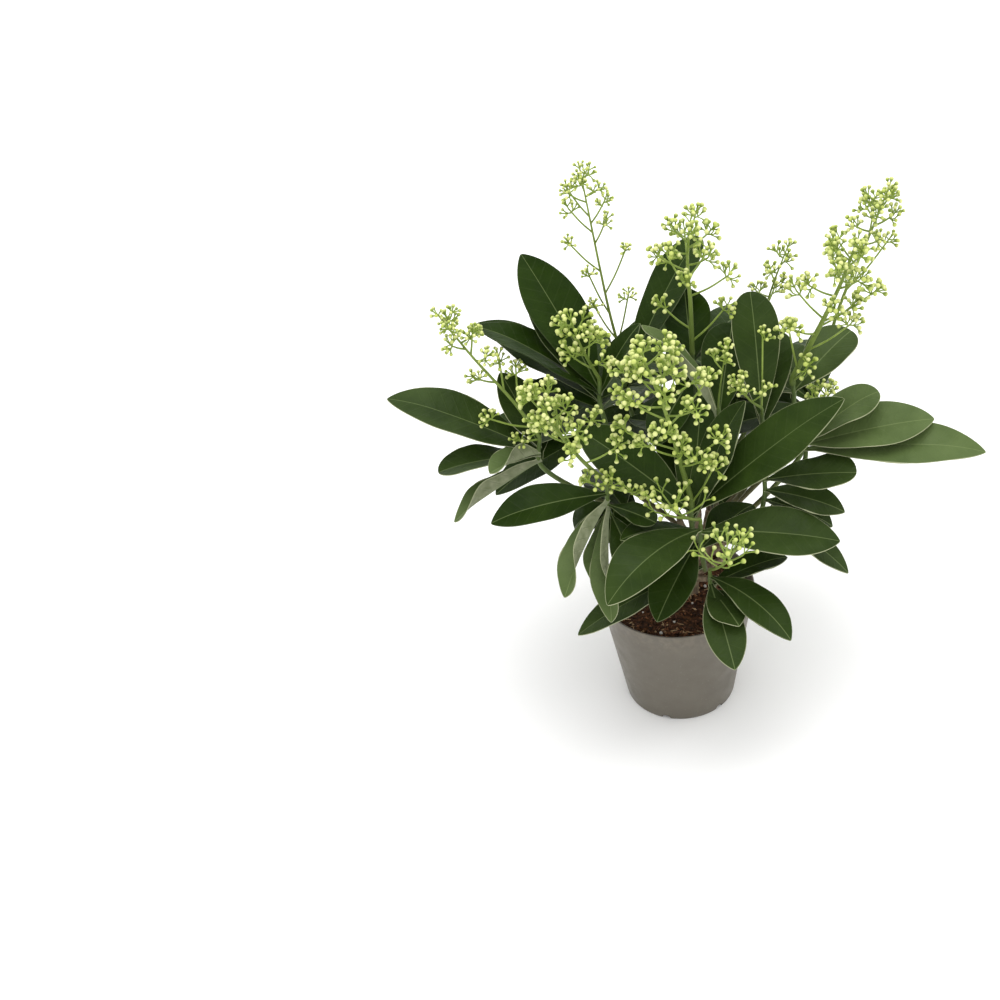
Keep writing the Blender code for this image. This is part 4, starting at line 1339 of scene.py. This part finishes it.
def make_soil():
    heap = Heap()
    bottom = BASE_THICKNESS + GAP
    low_edge = BASE_RADIUS - WALL - 2 * GAP
    inward = [SOIL_EDGE - 0.6 - (SOIL_EDGE - 1.2) * step / PEAT_RINGS for step in range(PEAT_RINGS)]
    radii = [low_edge * 0.5, low_edge, SOIL_EDGE - 0.15, *inward]
    rings = []
    for level, radius in enumerate(radii):
        ring = []
        for turn in range(PEAT_TURNS):
            way = direction(360 * turn / PEAT_TURNS, 0) * radius
            if level < 2:
                height = bottom
            elif level == 2:
                height = soil_height(way.x, way.y) - 1.5
            else:
                height = soil_height(way.x, way.y)
            ring.append(Vector((way.x, way.y, height)))
        rings.append(ring)
    places = [(0.0, 0.0, 0.0)] * (len(rings) * PEAT_TURNS)
    loft(heap, rings, [0], places, 0.0)
    draw = random.Random("fibres")
    scatter_fibres(heap, draw, 900)
    scatter_grains(heap, draw, 24)
    return heap.piece("peat_filling", [PEAT, FIBRE, GRAIN], "soil", "peat")


def scatter_fibres(heap, draw, count):
    """Flat chips and bent splinters that lie on the peat."""
    for _ in range(count):
        radius, turn = (SOIL_EDGE - 3.5) * math.sqrt(draw.random()), draw.uniform(0, 360)
        middle = direction(turn, 0) * radius
        middle.z = soil_height(middle.x, middle.y) + 0.15
        length = draw.choice((1.4, 1.8, 2.6, 3.6, 5.6))
        way = direction(draw.uniform(0, 360), draw.uniform(-14, 14)) * length / 2
        middle.z += draw.uniform(0.0, 0.35)
        bend = Vector((draw.uniform(-0.3, 0.3), draw.uniform(-0.3, 0.3), draw.uniform(0, 0.25))) * length / 3
        width = draw.uniform(0.24, 0.55) if length > 2 else draw.uniform(0.5, 0.95)
        tube(heap, [middle - way, middle + bend, middle + way], [width * 0.5, width, width * 0.4], 5, 1, draw.random())


def scatter_grains(heap, draw, count):
    """Small uneven balls of slow plant feed."""
    for _ in range(count):
        radius, turn = (SOIL_EDGE - 5) * math.sqrt(draw.random()), draw.uniform(0, 360)
        foot = direction(turn, 0) * radius
        size = draw.uniform(0.7, 1.15)
        foot.z = soil_height(foot.x, foot.y) + size * 0.2
        levels = (0.05, 0.3, 0.8, 1.3, 1.75, 1.95)
        path = [foot + Vector((0, 0, size * level)) for level in levels]
        tube(heap, path, [size * math.sqrt(max(level * (2 - level), 0.01)) for level in levels], 9, 2, draw.random())


soil = make_soil()
print("peat faces:", len(soil.data.polygons))

# %% [markdown]
# ## The trunk
#
# Just above the peat the short trunk splits into the woody feet of all the
# shoots. Separate tubes would show their seams where they meet. So tubes are
# heaped up first and then remeshed into one skin, which grows the smooth
# webs of real wood between them, and noise pushes the skin in and out a little.

# %% Grow the trunk
WOOD_SKIN = 0.55
TRUNK_SINK = 12.0


def make_trunk():
    heap = Heap()
    foot = Vector((*TRUNK_FOOT, SOIL_TOP - TRUNK_SINK))
    path = smooth_path([foot, *TRUNK_PATH], 5)
    slim = (TRUNK_TOP_RADIUS - TRUNK_RADIUS) / (len(path) - 1)
    tube(heap, path, [TRUNK_RADIUS + slim * step for step in range(len(path))], 20, 0, 0.0)
    for shoot in SHOOTS.values():
        wood, green = shoot_paths(shoot)
        way = [wood[0].lerp(wood[1], step / 4) for step in range(5)]
        tube(heap, way, [WOOD_RADIUS + 0.35 - 0.13 * step for step in range(5)], 14, 0, 0.0)
    mesh = bpy.data.meshes.new("trunk")
    mesh.from_pydata([point * MM for point in heap.points], [], heap.faces)
    raw = bpy.data.objects.new("trunk_raw", mesh)
    bpy.context.scene.collection.objects.link(raw)
    skin = raw.modifiers.new("skin", "REMESH")
    skin.mode = "VOXEL"
    skin.voxel_size = WOOD_SKIN * MM
    soften = raw.modifiers.new("soften", "SMOOTH")
    soften.iterations = 4
    bpy.context.view_layer.update()
    whole = bpy.data.meshes.new_from_object(raw.evaluated_get(bpy.context.evaluated_depsgraph_get()))
    bpy.data.objects.remove(raw)
    for vert in whole.vertices:
        spot = Vector((vert.co.x, vert.co.y, vert.co.z * 0.35)) / (2.6 * MM)
        vert.co += vert.normal * (0.28 * noise.noise(spot) * MM)
    whole.materials.append(TRUNK_BARK)
    return settle_piece("woody_trunk", whole, "trunk")


trunk = make_trunk()
print("trunk faces:", len(trunk.data.polygons))

# %% [markdown]
# ## The leaves
#
# A leaf could be one flat card with a picture on it, but its edge, its midrib
# and the light on its curved halves would be missing. Here every blade is a
# thin solid: rings that go across the upper face, round the hem, back along
# the underside and round the other hem are lofted from leaf stalk to tip.
# The upper face dips along the midrib, and the underside carries it as a rib.

# %% Loft one blade
BLADE_RINGS = 24
ACROSS = (-1, -0.88, -0.66, -0.42, -0.2, -0.07, 0, 0.07, 0.2, 0.42, 0.66, 0.88, 1)
FACE_HALF = 0.28
HEM_BULGE = 0.22
STALK_SHARE = 0.16


def blade_bend(leaf, share, across):
    """What a living blade adds to the plan: a rippled edge and a tip that nods."""
    ripple = leaf["ripple"] * math.sin(2 * math.pi * (leaf["beats"] * share + leaf["phase"] + (0.35 if across > 0 else 0)))
    nod = leaf["nod"] * max(share - 0.7, 0) ** 2 * leaf["length"]
    return ripple * abs(across) ** 3 * 4 * share * (1 - share) - nod


def blade_ring(leaf, share):
    """One ring of points round the blade, with the place mark of each point."""
    half = half_width(share, leaf["width"], leaf["form"])
    along = share * leaf["length"]
    swell = max(1 - share / STALK_SHARE, 0) ** 1.5
    points, places = [], []
    for across in ACROSS:
        reach = across * half
        dip = 0.28 * math.exp(-((reach / 0.9) ** 2)) * (1 - share) * (1 - swell)
        lift = FACE_HALF + blade_bend(leaf, share, across) - dip + 0.35 * swell * (1 - across**2)
        points.append(blade_point(leaf, share, across, lift))
        places.append((reach, along, half - abs(reach)))
    hem = 1 + HEM_BULGE / half
    points.append(blade_point(leaf, share, hem, blade_bend(leaf, share, 1)))
    places.append((half, along, 0.0))
    for across in ACROSS[::-1]:
        reach = across * half
        rib = 0.55 * math.exp(-((reach / 1.0) ** 2)) * (1 - share)
        lift = -FACE_HALF + blade_bend(leaf, share, across) - rib - 1.1 * swell * (1 - across**2)
        points.append(blade_point(leaf, share, across, lift))
        places.append((reach, along, half - abs(reach)))
    points.append(blade_point(leaf, share, -hem, blade_bend(leaf, share, 1)))
    places.append((-half, along, 0.0))
    return points, places


def add_blade(heap, leaf, tint):
    count = len(ACROSS)
    finishes = [0] * (count - 1) + [1, 1] + [2] * (count - 1) + [1, 1]
    rings, places = [], []
    for step in range(BLADE_RINGS + 1):
        share = 0.998 * (1 - (1 - step / BLADE_RINGS) ** 1.45)
        points, marks = blade_ring(leaf, share)
        rings.append(points)
        places += marks
    loft(heap, rings, finishes, places, tint)


print("points round a blade:", 2 * len(ACROSS) + 2)

# %% [markdown]
# ## Leafy shoots
#
# Each shoot is its stem with its leaves. The leaves near the front are a little
# lighter, those at the right much lighter and greyer, which is a painted sheen,
# and those inside and behind are darker. A shoot that carries no panicle ends
# in a small pointed leaf bud.

# %% Grow the leafy shoots
TIP_BUD = ((0.0, 1.5), (1.5, 1.9), (3.2, 1.5), (4.8, 0.8), (5.8, 0.2))


# How light each shoot's leaves are; the right shoot's high value paints a greyish sheen into their colour
SHOOT_TONE_AND_SHEEN = {
    "centre": 0.05,
    "front": 0.12,
    "front_low": 0.12,
    "left": 0.04,
    "far_left": 0.12,
    "right": 0.72,
    "right_back": 0.35,
    "right_high": 0.12,
    "right_low": 0.16,
}
INNER_TINT = 0.02
# Folded leaves get a high tint, which makes them lighter and silvery, partly a painted sheen
FOLDED_TONE_AND_SHEEN = 0.85


def leaf_tint(name, leaf, draw):
    """Lighter on folded leaves and on the shoots at the right, where the light greyish green is a painted sheen;
    darkest within and behind.
    """
    tint = FOLDED_TONE_AND_SHEEN if leaf["form"] == "folded" else SHOOT_TONE_AND_SHEEN.get(name, INNER_TINT)
    return min(max(tint + draw.uniform(-0.03, 0.06), 0.0), 1.0)


def add_stem(heap, shoot):
    wood, green = shoot_paths(shoot)
    path = smooth_path(green, 5)
    path[0] = path[0] - (path[1] - path[0]).normalized()
    radii = [SHOOT_RADIUS + (TIP_RADIUS - SHOOT_RADIUS) * step / (len(path) - 1) for step in range(len(path))]
    tube(heap, path, radii, 12, 3, 0.0)


def make_leafy_shoot(name, shoot, blossoming):
    heap = Heap()
    draw = random.Random("life of " + name)
    add_stem(heap, shoot)
    for leaf in LEAVES[name]:
        living = dict(leaf, ripple=draw.uniform(0.15, 0.6), beats=draw.uniform(2.2, 3.4), nod=draw.uniform(-0.05, 0.5))
        add_blade(heap, living, leaf_tint(name, leaf, draw))
    if not blossoming:
        tip = Vector(shoot["tip"])
        path = [tip + Vector((0, 0, up)) for up, radius in TIP_BUD]
        tube(heap, path, [radius for up, radius in TIP_BUD], 10, 3, 0.5, 0.9, 1.0)
    return heap.piece(name + "_shoot", LEAF_FINISHES + [SHOOT_BARK], "leafy_shoot_" + name, "leaf_green")


BLOSSOMING = {panicle["shoot"] for panicle in PANICLES.values()}
shoots = [make_leafy_shoot(name, shoot, name in BLOSSOMING) for name, shoot in SHOOTS.items()]
print("leafy shoots:", len(shoots), "with", sum(len(shoot.data.polygons) for shoot in shoots), "faces")

# %% [markdown]
# ## Buds and their clusters
#
# A skimmia panicle branches three times: side branches off the stalk, forks at
# their ends, and at each fork three buds on short stalks of their own. A bud
# is closed and club-shaped, with its crown wider than its foot. It could be a
# stretched sphere, but then the slim foot that runs into its stalk is lost, so
# it is turned from its own outline.

# %% Grow a cluster
BUD_OUTLINE = (
    (0.0, 0.26),
    (0.12, 0.32),
    (0.28, 0.52),
    (0.44, 0.78),
    (0.60, 0.96),
    (0.74, 1.0),
    (0.87, 0.84),
    (0.96, 0.52),
    (1.0, 0.18),
)
TRUE_BUD_RADIUS = 1.7
TRUE_BUD_LENGTH = 4.4
STALKLET = 0.46


def add_bud(heap, foot, way, size, tint):
    length = TRUE_BUD_LENGTH * size
    path = [foot + way * length * share for share, radius in BUD_OUTLINE]
    tube(heap, path, [TRUE_BUD_RADIUS * size * radius for share, radius in BUD_OUTLINE], 10, 1, tint)


def leaning(way, angle, turn):
    """The way tilted by an angle, towards a turn round itself, in degrees."""
    across = Matrix.Rotation(math.radians(turn), 3, way) @ way.orthogonal().normalized()
    return (way * math.cos(math.radians(angle)) + across * math.sin(math.radians(angle))).normalized()


def add_fork(heap, draw, foot, way, size, count, stretch):
    """A short stalk that ends in a fan of buds, each on a bowed stalk of its own."""
    knee = foot + way * draw.uniform(1.4, 2.6) * size
    tube(heap, [foot, knee], [STALKLET * 1.2, STALKLET], 6, 0, 0.0, 0.8, 0.95)
    turn = draw.uniform(0, 360)
    for index in range(count):
        lean = draw.uniform(4, 18) if index == 0 else draw.uniform(26, 64)
        out = leaning(way, lean, turn + GOLDEN_ANGLE * index)
        reach = draw.uniform(2.9, 5.0) * size * stretch
        foot_of_bud = knee + out * reach + Vector((0, 0, 0.12)) * reach
        bow = knee + (out * 0.5 + way * 0.14) * reach
        tube(heap, [knee, bow, foot_of_bud], [STALKLET * 0.9] * 2 + [STALKLET * 1.1], 5, 0, 0.0, 0.9, 1.0)
        aim = (foot_of_bud - bow).normalized()
        add_bud(heap, foot_of_bud - aim * 0.2, aim, size * draw.uniform(0.84, 1.08), draw.random())


def add_cluster(heap, draw, foot, end, radius, bunch):
    """A side branch from the stalk, and the fans that crowd round its end."""
    forks, count, size, stretch = bunch
    way = ((end - foot).normalized() + Vector((0, 0, 0.55))).normalized()
    parting = end - way * 3.8 * size
    bow = foot.lerp(parting, 0.5) + Vector((0, 0, -0.05)) * (parting - foot).length
    path = smooth_path([foot, bow, parting], 4)
    tube(heap, path, [radius + (STALKLET * 1.2 - radius) * step / 8 for step in range(9)], 7, 0, 0.0, 0.45, 0.8)
    turn = draw.uniform(0, 360)
    add_fork(heap, draw, parting, leaning(way, draw.uniform(0, 10), turn), size, count, stretch)
    for index in range(forks):
        out = leaning(way, draw.uniform(50, 76), turn + 360 * index / forks)
        add_fork(heap, draw, parting - way * draw.uniform(0, 3.5), out, size, count, stretch)


print("a bud is", 2 * TRUE_BUD_RADIUS, "mm across and", TRUE_BUD_LENGTH, "mm long")

# %% [markdown]
# ## Panicles
#
# The stalk of a panicle is stout and ribbed below and slim at its top. The
# broad panicles in the middle of the bush carry more buds in each cluster than
# the thin ones at its edge, and a table sets that for each panicle by name.

# %% Grow the panicles
# Further fans round the end of a side branch, buds in a fan, their size, and how far their stalks stretch
BUNCHES = {
    "tall_left": (2, 4, 0.62, 1.25),
    "tall_middle": (2, 4, 0.86, 1.15),
    "tall_far_right": (2, 4, 0.80, 1.15),
    "tall_right": (2, 5, 0.90, 1.15),
    "centre": (2, 5, 0.96, 1.3),
    "left": (2, 5, 0.90, 1.2),
    "left_of_centre": (1, 5, 0.92, 1.25),
    "far_left": (2, 5, 0.72, 1.25),
    "front": (0, 3, 0.95, 1.6),
    "front_low": (0, 3, 0.98, 2.0),
}
OTHER_BUNCH = (1, 4, 0.78, 1.2)


def make_panicle(name, panicle):
    heap = Heap()
    draw = random.Random("buds of " + name)
    path = stalk_path(panicle)
    path[0] = path[0] - Vector((0, 0, 1.2))
    smooth = smooth_path(path, 3)
    thick = panicle["radius"]
    radii = [thick * (1 - 0.62 * step / (len(smooth) - 1)) for step in range(len(smooth))]
    tube(heap, smooth, radii, 10, 0, 0.0, 0.0, 0.75)
    bunch = BUNCHES.get(name, OTHER_BUNCH)
    add_fork(heap, draw, smooth[-1], (smooth[-1] - smooth[-2]).normalized(), bunch[2], bunch[1], bunch[3])
    for foot, end in side_branches(name, panicle):
        add_cluster(heap, draw, foot, end, min(0.75, thick * 0.5), bunch)
    return heap.piece(name + "_panicle", [STALK_SKIN, BUD_SKIN], "panicle_" + name, "bud_green")


panicles = [make_panicle(name, panicle) for name, panicle in PANICLES.items()]
print("panicles:", len(panicles), "with", sum(len(panicle.data.polygons) for panicle in panicles), "faces")
